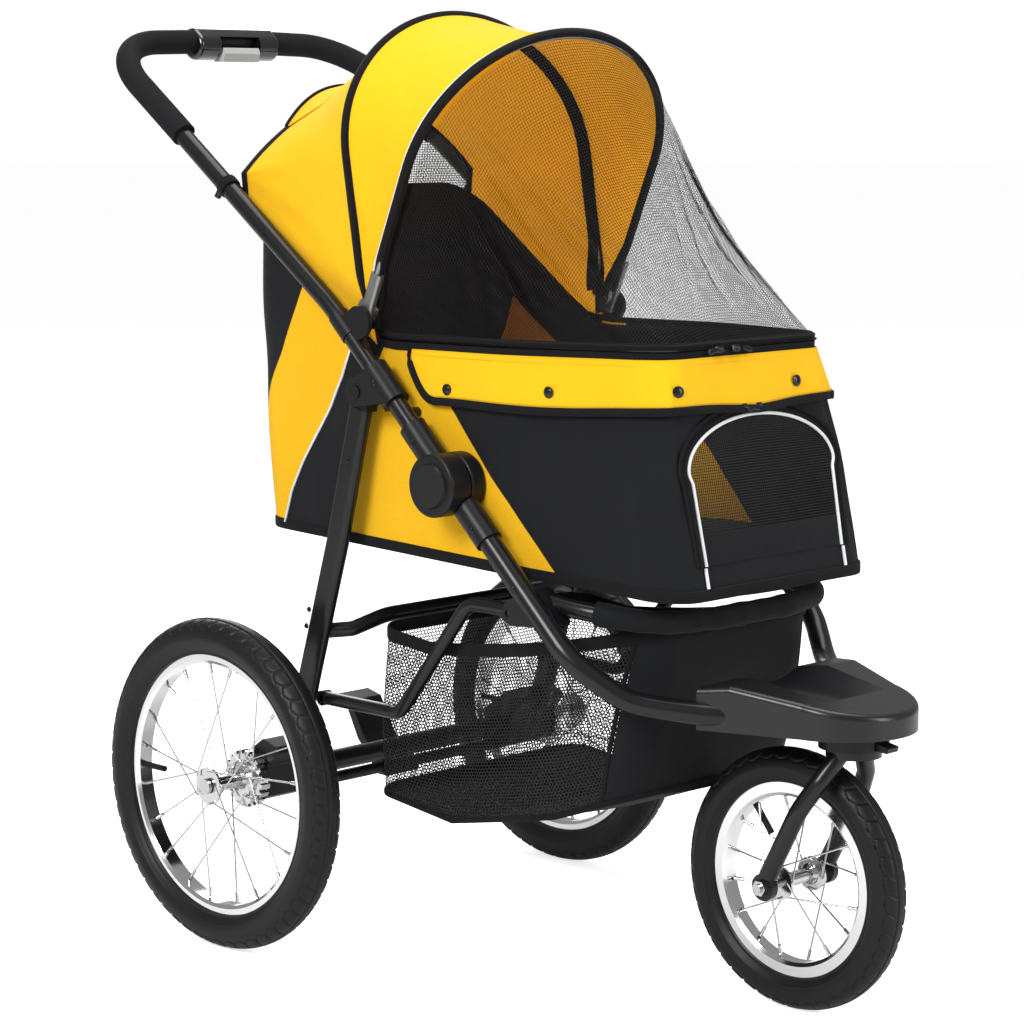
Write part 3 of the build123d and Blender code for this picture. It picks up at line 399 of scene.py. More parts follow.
def panelCloth(name):
    # black cloth with yellow panels where the sewn pattern value is above 0
    cloth = Finish(name, charcoal, 0.8, Sheen_Weight=0.04, Sheen_Roughness=0.5, Specular_IOR_Level=0.12)
    pattern = cloth.node("ShaderNodeAttribute", {"attribute_name": "panel"}, out=2)
    fade = cloth.noise(6.0, 4.0)
    fleck = cloth.noise(900.0, 1.0)
    isYellow = pattern > 0.0
    bright = cloth.mix(fade, shaded(yellow, 0.90), shaded(yellow, 1.08))
    dark = cloth.mix(fade, shaded(charcoal, 0.8), shaded(charcoal, 1.35))
    both = cloth.mix(isYellow, dark, bright)
    seam = pattern.sum("ABSOLUTE") < 0.0009
    cloth.put("Base Color", cloth.mix(fleck * 0.3 + seam * 0.6, both, shaded(charcoal, 0.5)))
    crease = cloth.noise(26.0, 3.0) * 3.0
    cloth.relief(weave(cloth) * 0.12 + crease - seam * 0.5, 0.5, 0.0012)
    return cloth.material


def squareNet(name, colour, cell, thread):
    # woven window net: threads where the distance to a grid line is under half a thread
    net = Finish(name, colour, 0.6, Specular_IOR_Level=0.25)
    u, v, _ = net.split(net.flat())
    across = u.sum("PINGPONG", cell / 2) < thread / 2
    along = v.sum("PINGPONG", cell / 2) < thread / 2
    net.put("Alpha", across.sum("MAXIMUM", along))
    net.put("Base Color", net.mix(net.noise(40.0), shaded(colour, 0.7), shaded(colour, 1.6)))
    return net.material


def roundNet(name, colour, cell, hole):
    # knitted net: holes round the points of a triangular grid
    net = Finish(name, colour, 0.7, Specular_IOR_Level=0.25)
    u, v, _ = net.split(net.flat())
    tall = cell * math.sqrt(3)

    def distance(shift):
        a = (u + cell * shift).sum("PINGPONG", cell / 2)
        b = (v + tall * shift).sum("PINGPONG", tall / 2)
        return (a * a + b * b).sum("SQRT")

    nearest = distance(0.0).sum("MINIMUM", distance(0.5))
    net.put("Alpha", nearest > hole)
    net.put("Base Color", net.mix(net.noise(60.0), shaded(colour, 0.7), shaded(colour, 1.7)))
    net.relief(nearest * 200.0, 0.6, 0.001)
    return net.material


def moulded(name, colour, roughness, grain=1400.0, depth=0.25, **constants):
    part = Finish(name, colour, roughness, **constants)
    wear = part.noise(9.0, 5.0)
    part.put("Base Color", part.mix(wear, shaded(colour, 0.82), shaded(colour, 1.25)))
    part.put("Roughness", part.between(wear, roughness - 0.05, roughness + 0.09))
    part.relief(part.noise(grain, 2.0), depth, 0.0003)
    return part.material


def metal(name, colour, roughness, stretch=(1.0, 1.0, 1.0), depth=0.15):
    part = Finish(name, colour, roughness, Metallic=1.0)
    brushed = part.node("ShaderNodeMapping", {}, {0: part.place(), 3: stretch})
    lines = part.noise(500.0, 3.0, brushed)
    haze = part.noise(14.0, 4.0)
    part.put("Base Color", part.mix(haze, shaded(colour, 0.88), colour))
    part.put("Roughness", part.between(haze * 0.6 + lines * 0.4, roughness * 0.7, roughness * 1.5))
    part.relief(lines, depth, 0.0002)
    return part.material


finishes = {
    "frame_paint": moulded("frame_paint", (0.006, 0.006, 0.007), 0.40, 2600.0, 0.12, Coat_Weight=0.45,
                           Coat_Roughness=0.20, Specular_IOR_Level=0.10),
    "moulded_black": moulded("moulded_black", (0.007, 0.007, 0.008), 0.46, 1700.0, 0.3, Coat_Weight=0.25,
                             Coat_Roughness=0.30, Specular_IOR_Level=0.12),
    "cover_black": moulded("cover_black", (0.007, 0.007, 0.008), 0.42, 1500.0, 0.2, Coat_Weight=0.60,
                           Coat_Roughness=0.26, Specular_IOR_Level=0.10),
    "housing_gloss": moulded("housing_gloss", (0.005, 0.005, 0.006), 0.16, 500.0, 0.03, Coat_Weight=0.6),
    "cap_black": moulded("cap_black", (0.006, 0.006, 0.007), 0.40, 1800.0, 0.15, Specular_IOR_Level=0.30),
    "foam": moulded("foam", (0.008, 0.008, 0.009), 0.93, 900.0, 0.9, Specular_IOR_Level=0.2),
    "trigger_grey": moulded("trigger_grey", (0.36, 0.37, 0.37), 0.4, 900.0, 0.1),
    "rivet": moulded("rivet", (0.004, 0.004, 0.004), 0.22, 900.0, 0.1, Specular_IOR_Level=0.4),
    "steel": metal("steel", (0.55, 0.55, 0.54), 0.20),
    "spoke_steel": metal("spoke_steel", (0.62, 0.62, 0.62), 0.16),
    "rim_alloy": metal("rim_alloy", (0.78, 0.78, 0.79), 0.11, (0.2, 1.0, 0.2), 0.08),
    "hub_alloy": metal("hub_alloy", (0.60, 0.60, 0.61), 0.14, depth=0.08),
    "tyre": moulded("tyre", (0.006, 0.006, 0.0065), 0.50, 700.0, 0.3, Coat_Weight=0.15,
                    Coat_Roughness=0.35, Specular_IOR_Level=0.16),
    "tube_rubber": moulded("tube_rubber", (0.007, 0.007, 0.007), 0.6, 900.0, 0.3, Specular_IOR_Level=0.2),
    "hoop_steel": metal("hoop_steel", (0.30, 0.30, 0.30), 0.4),
    "board": moulded("board", (0.03, 0.03, 0.03), 0.8, 300.0, 0.3),
}
yellowCloth = wovenCloth("yellow_cloth", yellow)
blackCloth = wovenCloth("black_cloth", charcoal)
liningCloth = wovenCloth("lining_cloth", orange, paintedGlow=0.40)  # painted glow: emission stands in for daylight through the thin cloth
bindingTape = wovenCloth("binding_tape", (0.007, 0.007, 0.008), 0.03, 0.85)
pipingTape = moulded("piping_tape", (0.62, 0.64, 0.66), 0.34, 2200.0, 0.3)
cabinCloth = panelCloth("cabin_cloth")
windowNet = squareNet("window_net", (0.008, 0.008, 0.009), 0.0036, 0.00043)
doorNet = squareNet("door_net", (0.008, 0.008, 0.009), 0.0030, 0.00082)
basketNetting = roundNet("basket_net", (0.008, 0.008, 0.009), 0.0045, 0.00172)
threadFinish = moulded("thread", (0.020, 0.020, 0.021), 0.7)
plasticBlack = finishes["rivet"]
print("finishes made")

# every node that stays takes its slot's finish
slotOf = {part["node"]: part["material_slot"] for part in frame["record"]["subparts"]}
for name, node in nodes.items():
    node.data.materials.clear()
    node.data.materials.append(finishes.get(slotOf[name], blackCloth))


# cabin

cabinSize = {
    "half": 178.0, "frontLow": 168.0, "frontHigh": 138.0, "taperFrom": 110.0, "taperTo": 330.0,
    "corner": 44.0,
    "floor": ((-272.0, 488.0), (378.0, 464.0)),
    "rim": ((-289.0, 880.0), (-112.0, 747.0), (-72.0, 722.0), (-38.0, 719.0), (326.0, 723.0)),
    "floorRun": (-272.0, 650.0), "rimRun": (-289.0, 615.0), "panelOut": 150.0,
    "wall": 1.8, "belly": 5.0, "squashTo": 0.12,
}
doorSize = {"half": 121.0, "low": 497.0, "shoulder": 592.0, "top": 649.0, "stripTo": 530.0}


def cabinHalf(x, z):
    # narrows towards the front, more at the rim than at the floor
    s = cabinSize
    front = np.interp(z, [480, 723], [s["frontLow"], s["frontHigh"]])
    return s["half"] + (front - s["half"]) * ease(s["taperFrom"], s["taperTo"], x)


def cabinFloor(x):
    (x0, z0), (x1, z1) = cabinSize["floor"]
    return z0 + (z1 - z0) * (x - x0) / (x1 - x0)


def cabinRim(x):
    return np.interp(x, *zip(*cabinSize["rim"]))


def frontX(z):
    # the front wall's x at a height
    return np.interp(z, [464, 723], [378, 326])


def cabinEnds(z):
    # the rear and front walls' x at a height
    return np.interp(z, [488, 862], [-272, -289]), frontX(z)


def cabinHeights(share):
    # floor and rim height at a share of the way from rear to front
    (floorFrom, floorLong), (rimFrom, rimLong) = cabinSize["floorRun"], cabinSize["rimRun"]
    return cabinFloor(floorFrom + floorLong * share), cabinRim(rimFrom + rimLong * share)


def planLoop(count):
    # a rounded rectangle walked from the middle of the rear: share of the length, share of the width
    length, half, r = 650.0, 178.0, cabinSize["corner"]
    points = []
    t = np.linspace(0, 1, 60)[1:]
    here = np.array([0.0, 0.0])
    goals = [(0, -half + r), None, (length - r, -half), None, (length, half - r), None, (r, half), None, (0, 0)]
    centres = [None, (r, -half + r), None, (length - r, -half + r),
               None, (length - r, half - r), None, (r, half - r)]
    starts = [None, math.pi, None, 1.5 * math.pi, None, 0, None, 0.5 * math.pi]
    points.append(here[None])
    for step, goal in enumerate(goals):
        if goal is None:
            angle = starts[step] + t * math.pi / 2
            run = np.array(centres[step]) + r * np.stack([np.cos(angle), np.sin(angle)], -1)
        else:
            run = here + (np.array(goal) - here) * t[:, None]
        points.append(run)
        here = run[-1]
    line = np.concatenate(points)
    line = np.column_stack([line, np.zeros(len(line))])
    length3 = np.concatenate([[0], np.cumsum(np.linalg.norm(np.diff(line, axis=0), axis=1))])
    at = np.linspace(0, length3[-1], count, endpoint=False)
    share = np.interp(at, length3, line[:, 0]) / length
    wide = np.interp(at, length3, line[:, 1]) / half
    return share, wide


cabinFolds = [(0.9, 0.021, 0.034, 0.4), (0.7, -0.033, 0.027, 2.0), (0.5, 0.057, 0.019, 1.1),
              (0.35, 0.09, -0.05, 0.3)]


def cabinSkin(share, wide, rise, proud=0.0):
    # wall point: rear to front by share, across by wide, floor to rim by rise, swollen by the belly
    zLow, zHigh = cabinHeights(share)
    z = zLow + (zHigh - zLow) * rise
    rear, front = cabinEnds(z)
    x = rear + (front - rear) * share
    half = cabinHalf(x, z)
    outX = np.sign(share - 0.5) * ease(0.93, 1.0, np.abs(share * 2 - 1))
    outY = np.sign(wide) * ease(0.75, 1.0, np.abs(wide))
    size = np.maximum(np.hypot(outX, outY), 1e-6)
    swell = cabinSize["belly"] * np.sin(math.pi * np.clip(rise, 0, 1))
    swell = swell * np.where(np.abs(outX) > 0.9, 0.15, 1.0)
    swell = swell + ripple(x, z, cabinFolds) * np.sin(math.pi * np.clip(rise, 0, 1)) + proud
    return stack(x + outX / size * swell, wide * half + outY / size * swell, z)


def sideSkin(x, z, side, proud=0.0):
    # the same wall where the place along and the height are known
    rear, front = cabinEnds(z)
    share = (x - rear) / (front - rear)
    zLow, zHigh = cabinHeights(share)
    return cabinSkin(share, np.full(np.shape(x), float(side)), (z - zLow) / (zHigh - zLow), proud)


seamPiping = [(-107, 706), (-120, 671), (-140, 636), (-168, 599), (-191, 567), (-213, 531), (-228, 492)]
seamRear = [(-181, 800), (-225, 694), (-254, 647), (-284, 592)]
seamLeg = [(-40, 735), (-66, 690), (-84, 640), (-105, 560), (-128, 470)]
seamFront = [(54, 650), (219, 470)]


def seamX(seam, z):
    # x of a seam at a height, seams running from high to low
    xs, zs = zip(*seam[::-1])
    slope = (xs[-1] - xs[-2]) / (zs[-1] - zs[-2])
    slopeLow = (xs[1] - xs[0]) / (zs[1] - zs[0])
    x = np.interp(z, zs, xs)
    x = x + np.where(z > zs[-1], (z - zs[-1]) * slope, 0)
    return x + np.where(z < zs[0], (z - zs[0]) * slopeLow, 0)


def panelPattern(points):
    # above 0 inside the yellow panels: nearest of the seams that bound each, in millimetres
    x, y, z = points.T
    stripe = np.minimum(x - seamX(seamRear, z), seamX(seamPiping, z) - x)
    middle = np.minimum(x - seamX(seamLeg, z), seamX(seamFront, z) - x)
    onSide = np.abs(y) - cabinSize["panelOut"]
    return np.minimum(np.maximum(stripe, middle), onSide)


def setPattern(piece):
    co = np.zeros(len(piece.data.vertices) * 3)
    piece.data.vertices.foreach_get("co", co)
    value = panelPattern(co.reshape(-1, 3) / perMm) * perMm
    attribute = piece.data.attributes.new("panel", "FLOAT", "POINT")
    attribute.data.foreach_set("value", value.astype(np.float32))


def withCabin(piece, body="chassis"):
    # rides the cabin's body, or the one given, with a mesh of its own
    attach(piece, body)
    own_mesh(piece)
    return piece


def doorOutline(grow=0.0, count=60, low=None):
    # up one side, over a half ellipse and down the other: y and z in the door's plane
    d = doorSize
    half, top = d["half"] + grow, d["top"] + grow
    low = d["low"] if low is None else low
    turn = np.linspace(0, math.pi, count)
    y = np.concatenate([[-half * 0.97] * 12, -half * np.cos(turn), [half * 0.97] * 12])
    climb = np.linspace(low, d["shoulder"], 13)[:-1]
    z = np.concatenate([climb, d["shoulder"] + (top - d["shoulder"]) * np.sin(turn), climb[::-1]])
    lean = np.clip((z - low) / (d["shoulder"] - low), 0, 1)
    return y * (0.97 + 0.03 * lean), z


loopCount, riseCount = 420, 44
share, wide = planLoop(loopCount)
rises = np.linspace(0, 1, riseCount)
wall = cabinSkin(share[:, None], wide[:, None], rises[None, :])
wall = np.concatenate([wall, wall[:1]])
wall = facing(wall, (50, 0, 600))
bottomRow = wall[:, 0] if wall[0, 0, 2] < wall[0, -1, 2] else wall[:, -1]
inward = np.linspace(1, 0, 24)[None, :, None]
under = bottomRow[:, None] * np.array([1, 0, 1]) + bottomRow[:, None] * np.array([0, 1, 0]) * inward
under[..., 2] -= 5.0 * np.sin(math.pi / 2 * (1 - inward[..., 0]))
under = facing(under, (50, 0, 600))
cabinShell = makePiece("cabinShell", [{"points": wall, "material": 0}, {"points": under, "material": 1}],
                       [cabinCloth, blackCloth])
thicken(cabinShell, cabinSize["wall"])

# the arch for the door is cut through the front wall
archY, archZ = doorOutline(-2.0)
cutter = bmesh.new()
near = [cutter.verts.new((0.30, y * perMm, z * perMm)) for y, z in zip(archY, archZ)]
face = cutter.faces.new(near)
pushed = bmesh.ops.extrude_face_region(cutter, geom=[face])
for v in pushed["geom"]:
    if isinstance(v, bmesh.types.BMVert):
        v.co.x += 0.12
bmesh.ops.recalc_face_normals(cutter, faces=cutter.faces)
cutMesh = bpy.data.meshes.new("doorCut")
cutter.to_mesh(cutMesh)
cutter.free()
cutObject = bpy.data.objects.new("doorCut", cutMesh)
bpy.context.scene.collection.objects.link(cutObject)
cut = cabinShell.modifiers.new("door", "BOOLEAN")
cut.object = cutObject
cut.operation = "DIFFERENCE"
cut.solver = "EXACT"
applyAll(cabinShell)
bpy.data.objects.remove(cutObject)
setPattern(cabinShell)
cabinShell.data.set_sharp_from_angle(angle=math.radians(60))
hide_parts("cabin")
withCabin(cabinShell)
print("cabin sewn,", len(cabinShell.data.polygons), "faces")

# reflective piping down each side
pipeZ = np.linspace(706, 492, 60)
pipeX = seamX(seamPiping, pipeZ)
bound = []
for side in (-1, 1):
    line = sideSkin(pipeX, pipeZ, side, 1.0)
    bound.append(sweep(line, ring(1.5, 1.5, 8), up=(0, side, 0)))
cabinPiping = makePiece("cabinPiping", bound, [pipingTape])
withCabin(cabinPiping)


loopSteps = 1200
fineShare, fineWide = planLoop(loopSteps)


def loopAt(place):
    # the loop's share and width at a part of the way round it
    index = np.arange(loopSteps + 1)
    s = np.interp(place * loopSteps, index, np.append(fineShare, fineShare[0]))
    w = np.interp(place * loopSteps, index, np.append(fineWide, fineWide[0]))
    return s, w


def cabinLine(rise, proud, start=0.0, end=1.0, count=360, level=None):
    # a line round the wall between two parts of the loop, at a rise or a fixed drop below the rim
    s, w = loopAt(np.linspace(start, end, count))
    if level is not None:
        zLow, zHigh = cabinHeights(s)
        rise = 1 + np.broadcast_to(level, s.shape) / (zHigh - zLow)
    return cabinSkin(s, w, np.broadcast_to(rise, s.shape), proud)


# a black facing sewn inside along the rim
facingLevels = -2.0 - 72.0 * np.linspace(0, 1, 10)
facingPoints = np.stack([cabinLine(0, -3.2, 0.0, 1.0, 400, level=k) for k in facingLevels], 1)
rimFacing = makePiece("rimFacing", {"points": facing(facingPoints, (50, 0, 650))}, [bindingTape])
thicken(rimFacing, 0.8)
withCabin(rimFacing)

bindingSection = ring(1.9, 6.5, 12, 4.0)
edgeLine = cabinLine(0.0, 0.0)[:-1]
edgeLine[:, 2] += 3.0
cabinHem = makePiece("cabinHem", sweep(edgeLine, bindingSection, closed=True), [bindingTape])
withCabin(cabinHem)


def loopShareAt(x):
    # part of the way round the loop where the right side wall meets x
    rightSide = np.arange(loopSteps)[fineWide < -0.99]
    place = -280 + 640 * fineShare[rightSide]
    return float(np.interp(x, place, rightSide)) / loopSteps


bandSize = {"from": 8.0, "top": -10.0, "bottom": -66.0, "dip": 1.6, "proud": 3.2, "thick": 1.4}


def bandGrid():
    # the loose band round the front: rows along the cabin, columns from its top to its hem
    b = bandSize
    start = loopShareAt(b["from"])
    u, v = grid(300, 14)
    fromEnd = np.minimum(u, 1 - u) * (1 - 2 * start) * 1600
    curve = np.clip(1 - fromEnd / 34, 0, 1)
    s, w = loopAt(np.clip(start + (1 - 2 * start) * u, start, 1 - start))
    hem = b["bottom"] - b["dip"] * np.sin(fromEnd / 62) + b["dip"] * np.sin(fromEnd / 41)
    hem = hem + (b["top"] - b["bottom"] - 12) * curve ** 2.2
    drop = b["top"] + (hem - b["top"]) * v
    zLow, zHigh = cabinHeights(s)
    rise = 1 + drop / (zHigh - zLow)
    flare = b["proud"] + 3.5 * v + 0.7 * np.sin(fromEnd / 21.0) * v + 0.3 * np.sin(fromEnd / 9.0 + 2) * v * v
    return cabinSkin(s, w, rise, flare)


bandPoints = bandGrid()
band = makePiece("cabinBand", {"points": facing(bandPoints, (50, 0, 650))}, [yellowCloth])
thicken(band, bandSize["thick"])
withCabin(band)
bandArea, bandDown, bandOver = area(bandPoints)
print("band cut", round(bandOver, 3), round(bandDown, 3), "area", round(bandArea, 3))
hemLine = np.concatenate([bandPoints[0, :-1], bandPoints[:, -1], bandPoints[-1, -2::-1]])
hemSweep = sweep(evenly(hemLine, 4), ring(1.7, 4.6, 10, 4.0), up=(0, 0, 1))
bandHem = makePiece("cabinBandHem", hemSweep, [bindingTape])
withCabin(bandHem)
topRow = evenly(bandPoints[:, 1] + np.array([0, 0, -3.0]), 3)
hemRow = evenly(bandPoints[8:-8, -2] + np.array([0, 0, 1.0]), 3)


def rowOut(line):
    # every stitch stands clear of the wall it is sewn to
    along = unit(np.gradient(line, axis=0))
    out = np.cross(along, (0, 0, 1.0))
    middle = line - np.array([50, 0, 650])
    out = out * np.sign(np.sum(out * middle, axis=1, keepdims=True))
    return line + unit(out) * 0.5


bandSeams = [stitches(rowOut(row)) for row in (topRow, hemRow)]
bandStitch = makePiece("bandStitch", bandSeams, [threadFinish], weld=False)
withCabin(bandStitch)

# zip tape along the rim, teeth and two sliders
rimStart = loopShareAt(-60.0)
rimLine = cabinLine(0, 1.6, rimStart, 1 - rimStart, 380, level=-4.0)
teethLine = cabinLine(0, 3.6, rimStart + 0.01, 0.99 - rimStart, 380, level=-3.0)
rimTape = makePiece("rimTape", [sweep(rimLine, ring(1.3, 8.5, 12, 4.0)),
                                sweep(rimLine + np.array([0, 0, 7.5]), ring(2.0, 2.0, 8))], [bindingTape])
withCabin(rimTape)
rearRim = [sweep(cabinLine(0, -0.6, *ends, 140, level=-2.0), ring(2.4, 6.0, 12, 4.0))
           for ends in ((0.0, rimStart), (1 - rimStart, 1.0))]
withCabin(makePiece("rearRimBinding", rearRim, [bindingTape]))
zipTeeth = makePiece("zipTeeth", stitches(teethLine, 2.4, 1.7, 2.2), [plasticBlack], weld=False)
withCabin(zipTeeth)


def slider(at, along, out):
    # a zip slider: body swept along the zip, bridge over it and a flat pull hanging from the bridge
    at, along, out = (np.asarray(v, float) for v in (at, along, out))
    down = np.array([0, 0, -1.0])
    run = np.linspace(-7, 7, 8)[:, None]
    body = at + along * run + out * 2.5
    arch = at + along * np.linspace(-5, 5, 9)[:, None]
    arch = arch + out * (4 + 3 * np.sin(np.linspace(0, math.pi, 9)))[:, None]
    fall = np.linspace(0, 1, 8)[:, None]
    pull = at + out * 6.5 + along * (6 + 16 * fall) + down * (3 * fall)
    return [sweep(body, ring(4.2, 2.2, 10, 3.0), up=out, taper=[0.6, 0.85, 1, 1, 1, 1, 0.8, 0.5]),
            sweep(arch, ring(1.2, 0.9, 8), up=out),
            sweep(pull, ring(2.8, 0.8, 10, 3.0), up=out, taper=[0.6, 0.7, 1, 1, 1.1, 1.1, 1, 0.6])]


frontOut = unit(np.array([math.cos(0.157), 0, math.sin(0.157)]))
sliders = []
zipZ = 720.0
for y, way in ((-50.0, -1), (-22.0, 1)):
    sliders += slider((frontX(zipZ) + 4.0, y, zipZ), (0, way, 0), frontOut)
rimSliders = makePiece("rimSliders", sliders, [plasticBlack])
withCabin(rimSliders)

# snaps on the band: a crowned cap on a flange, turned about its own axis
snapProfile = np.array([(0, 2.6), (2.4, 2.5), (4.4, 2.0), (5.6, 1.1), (6.3, 0.9), (6.5, 0.2), (6.4, -0.6)])


def snap(at, out):
    turn = np.linspace(0, 2 * math.pi, 28, endpoint=False)
    out = unit(np.asarray(out, float))
    side = unit(np.cross(out, (0, 0, 1.0)))
    lift = np.cross(side, out)
    r, h = snapProfile[:, 0][:, None, None], snapProfile[:, 1][:, None, None]
    spin = np.cos(turn)[None, :, None] * side + np.sin(turn)[None, :, None] * lift
    return {"points": np.asarray(at) + r * spin + h * out, "closedCols": True}


snaps = []
for side in (-1, 1):
    for x, z in ((56, 668), (201, 674)):
        snaps.append(snap(sideSkin(np.array(x), np.array(z), side, 7.0), (0, side, 0)))
snaps.append(snap((frontX(680) + 4.5, -122.0, 680), (1, -0.45, 0.1)))
snaps.append(snap((frontX(680) + 7.6, 70.0, 680), (1, 0, 0.1)))
bandSnaps = makePiece("bandSnaps", snaps, [plasticBlack])
withCabin(bandSnaps)
print("band, zip and snaps made")

# front door

doorY, doorZ = doorOutline(0.0)


def doorSheet(z0, z1, material, proud=1.2):
    # rows climb the door, columns cross it between the outline's two sides
    rows = np.linspace(z0, z1, 40)
    top, shoulder, half = doorSize["top"], doorSize["shoulder"], doorSize["half"]
    over = np.clip((rows - shoulder) / (top - shoulder), 0, 1)
    wideHere = half * (0.97 + 0.03 * np.clip((rows - doorSize["low"]) / (shoulder - doorSize["low"]), 0, 1))
    wideHere = wideHere * np.sqrt(np.maximum(1 - over ** 2, 0))
    c = np.linspace(-1, 1, 40)
    y = wideHere[:, None] * c[None]
    z = np.broadcast_to(rows[:, None], y.shape)
    bow = proud + 4.0 * np.cos(math.pi / 2 * c)[None] * np.sin(math.pi * (z - doorSize["low"]) / 160).clip(0, 1)
    x = frontX(z) + bow + 0.5 * np.sin(y / 17.0)
    return {"points": facing(stack(x, y, z), (0, 0, 560)), "material": material, "spread": True}


doorParts = [doorSheet(doorSize["stripTo"], doorSize["top"], 0),
             doorSheet(doorSize["low"], doorSize["stripTo"], 1)]
doorPanel = makePiece("doorPanel", doorParts, [doorNet, blackCloth])
thicken(doorPanel, 0.25)
doorArea = sum(area(part["points"])[0] for part in doorParts)
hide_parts("front_door")
withCabin(doorPanel, "door")
outX = frontX(doorZ) + 2.2
doorLine = evenly(np.column_stack([outX, doorY, doorZ]), 4)
doorPiping = makePiece("doorPiping", sweep(doorLine, ring(2.0, 1.8, 8), up=(1, 0, 0)), [pipingTape])
withCabin(doorPiping, "door")
# the piping runs on below the door to the cabin's floor
legs = []
for side in (-1, 1):
    legZ = np.linspace(doorSize["low"] - 1.5, 474.0, 8)
    legs.append(sweep(np.column_stack([frontX(legZ) + 2.4, np.full(8, side * doorSize["half"] * 0.955), legZ]),
                      ring(2.0, 1.8, 8), up=(1, 0, 0)))
withCabin(makePiece("doorPipingLow", legs, [pipingTape]))
tapeY, tapeZ = doorOutline(9.0)
tapeLine = evenly(np.column_stack([frontX(tapeZ) + 1.2, tapeY, tapeZ]), 4)
doorTape = makePiece("doorTape", [sweep(tapeLine, ring(6.5, 1.0, 12, 4.0), up=(1, 0, 0)),
                                  {**stitches(tapeLine + np.array([1.0, 0, 0]), 2.4, 1.7, 1.6, up=(1, 0, 0))}],
                     [bindingTape, plasticBlack], weld=False)
withCabin(doorTape)
doorPulls = slider((frontX(657) + 3.0, -22.0, 657.0), (0, 1, 0), frontOut)
doorPulls += slider((frontX(657) + 3.0, 2.0, 657.0), (0, -1, 0), frontOut)
doorSliders = makePiece("doorSliders", doorPulls, [plasticBlack])
withCabin(doorSliders)

# a webbing strap inside, from the far wall down to the floor
strapPath = rounded([(10, 150, 585), (90, 120, 545), (190, 60, 520), (250, 10, 512)], 3)
innerStrap = makePiece("innerStrap", sweep(evenly(strapPath, 6), ring(12.0, 1.0, 12, 4.0)), [bindingTape])
withCabin(innerStrap)
print("door made")

# canopy

canopySize = {
    "rear": (-286.0, 892.0, 0.0, 188.0, 8.0, 88.0),       # x, z, lean, half width, leg, rise
    "rearPeak": 2.1,
    "middle": (-62.0, 737.0, -9.5, 199.0, 188.0, 164.0),
    "front": (-65.0, 737.0, 22.8, 199.0, 188.0, 160.0),
    "foot": (-38.0, -26.0, -12.0), "tuck": 13.0, "wall": 1.2, "legShare": 0.27,
}


def hoopLine(hoop, v, foot=0.0, tuck=0.0):
    # up one leg, over half an ellipse and down the other, in a plane leaning from upright;
    # the rear edge has no wire, so its arch is drawn to a soft peak
    ox, oz, lean, half, leg, rise = hoop
    peak = canopySize["rearPeak"] if ox < -200 else 1.0
    a = canopySize["legShare"]
    angle = math.pi * np.clip((v - a) / (1 - 2 * a), 0, 1)
    low = np.minimum(v, 1 - v) / a
    h = np.where(low < 1, foot + (leg - foot) * low, leg + rise * np.sin(angle) ** peak)
    y = -half * np.cos(angle)
    y = y - np.sign(y) * tuck * (1 - ease(0, 70, h - foot)) * (np.abs(y) > 1)
    lean = math.radians(lean)
    return stack(ox + h * math.sin(lean), y, oz + h * math.cos(lean))


def canopySpan(hoopA, hoopB, u, v, footA, footB, tuckA, tuckB, sag):
    # ruled between two hoops, drawn in towards the pivot by the cloth's pull
    a, b = hoopLine(hoopA, v, footA, tuckA), hoopLine(hoopB, v, footB, tuckB)
    points = a + (b - a) * u[..., None]
    centre = np.array([-90.0, 0.0, 850.0])
    inward = unit(centre - points)
    pull = sag * np.sin(math.pi * u) * ease(0.0, 0.2, np.minimum(v, 1 - v))
    crease = ripple(u, v, [(0.9, 5.0, 47.0, 0.5), (0.7, -8.0, 31.0, 1.7), (0.5, 14.0, 71.0, 0.2)])
    crease = crease * np.sin(math.pi * u)
    return points + inward * (pull + crease)[..., None]


c = canopySize
rows, cols = 26, 150
u1, v1 = grid(rows, cols)
rearSpan = canopySpan(c["rear"], c["middle"], u1, v1, c["foot"][0], c["foot"][1], 5.0, c["tuck"], 7.0)
frontSpan = canopySpan(c["middle"], c["front"], u1, v1, c["foot"][1], c["foot"][2], c["tuck"], c["tuck"], 5.0)
hoodPoints = np.concatenate([rearSpan, frontSpan[1:]])
canopyHood = makePiece("canopyHood", {"points": facing(hoodPoints, (-90, 0, 850))}, [yellowCloth, liningCloth])
thicken(canopyHood, c["wall"], innerSlot=1)
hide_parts("canopy")


def withHood(piece):
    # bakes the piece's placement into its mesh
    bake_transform(piece)
    return piece


hoodArea, hoodDown, hoodOver = area(hoodPoints)
withHood(canopyHood)
print("canopy area", round(hoodArea, 3), "cut", round(hoodDown, 3), round(hoodOver, 3))

fullTurn = np.linspace(0, 1, 160)


def hoopTrim(name, hoop, grow, section, material, body, foot=0.0, shift=0.0, tuck=None):
    # a tape or cord sewn along a hoop, its section's second side facing outwards
    ox, oz, lean, half, leg, rise = hoop
    tuck = canopySize["tuck"] if tuck is None else tuck
    line = hoopLine((ox, oz, lean, half + grow, leg, rise + grow), fullTurn, foot, tuck)
    slant = math.radians(lean)
    line = line + np.array([math.cos(slant), 0, -math.sin(slant)]) * shift
    out = unit(line - np.array([ox, 0, oz + leg * 0.8]))
    piece = makePiece(name, sweep(line, section, up=out), [material])
    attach(piece, body)
    return piece


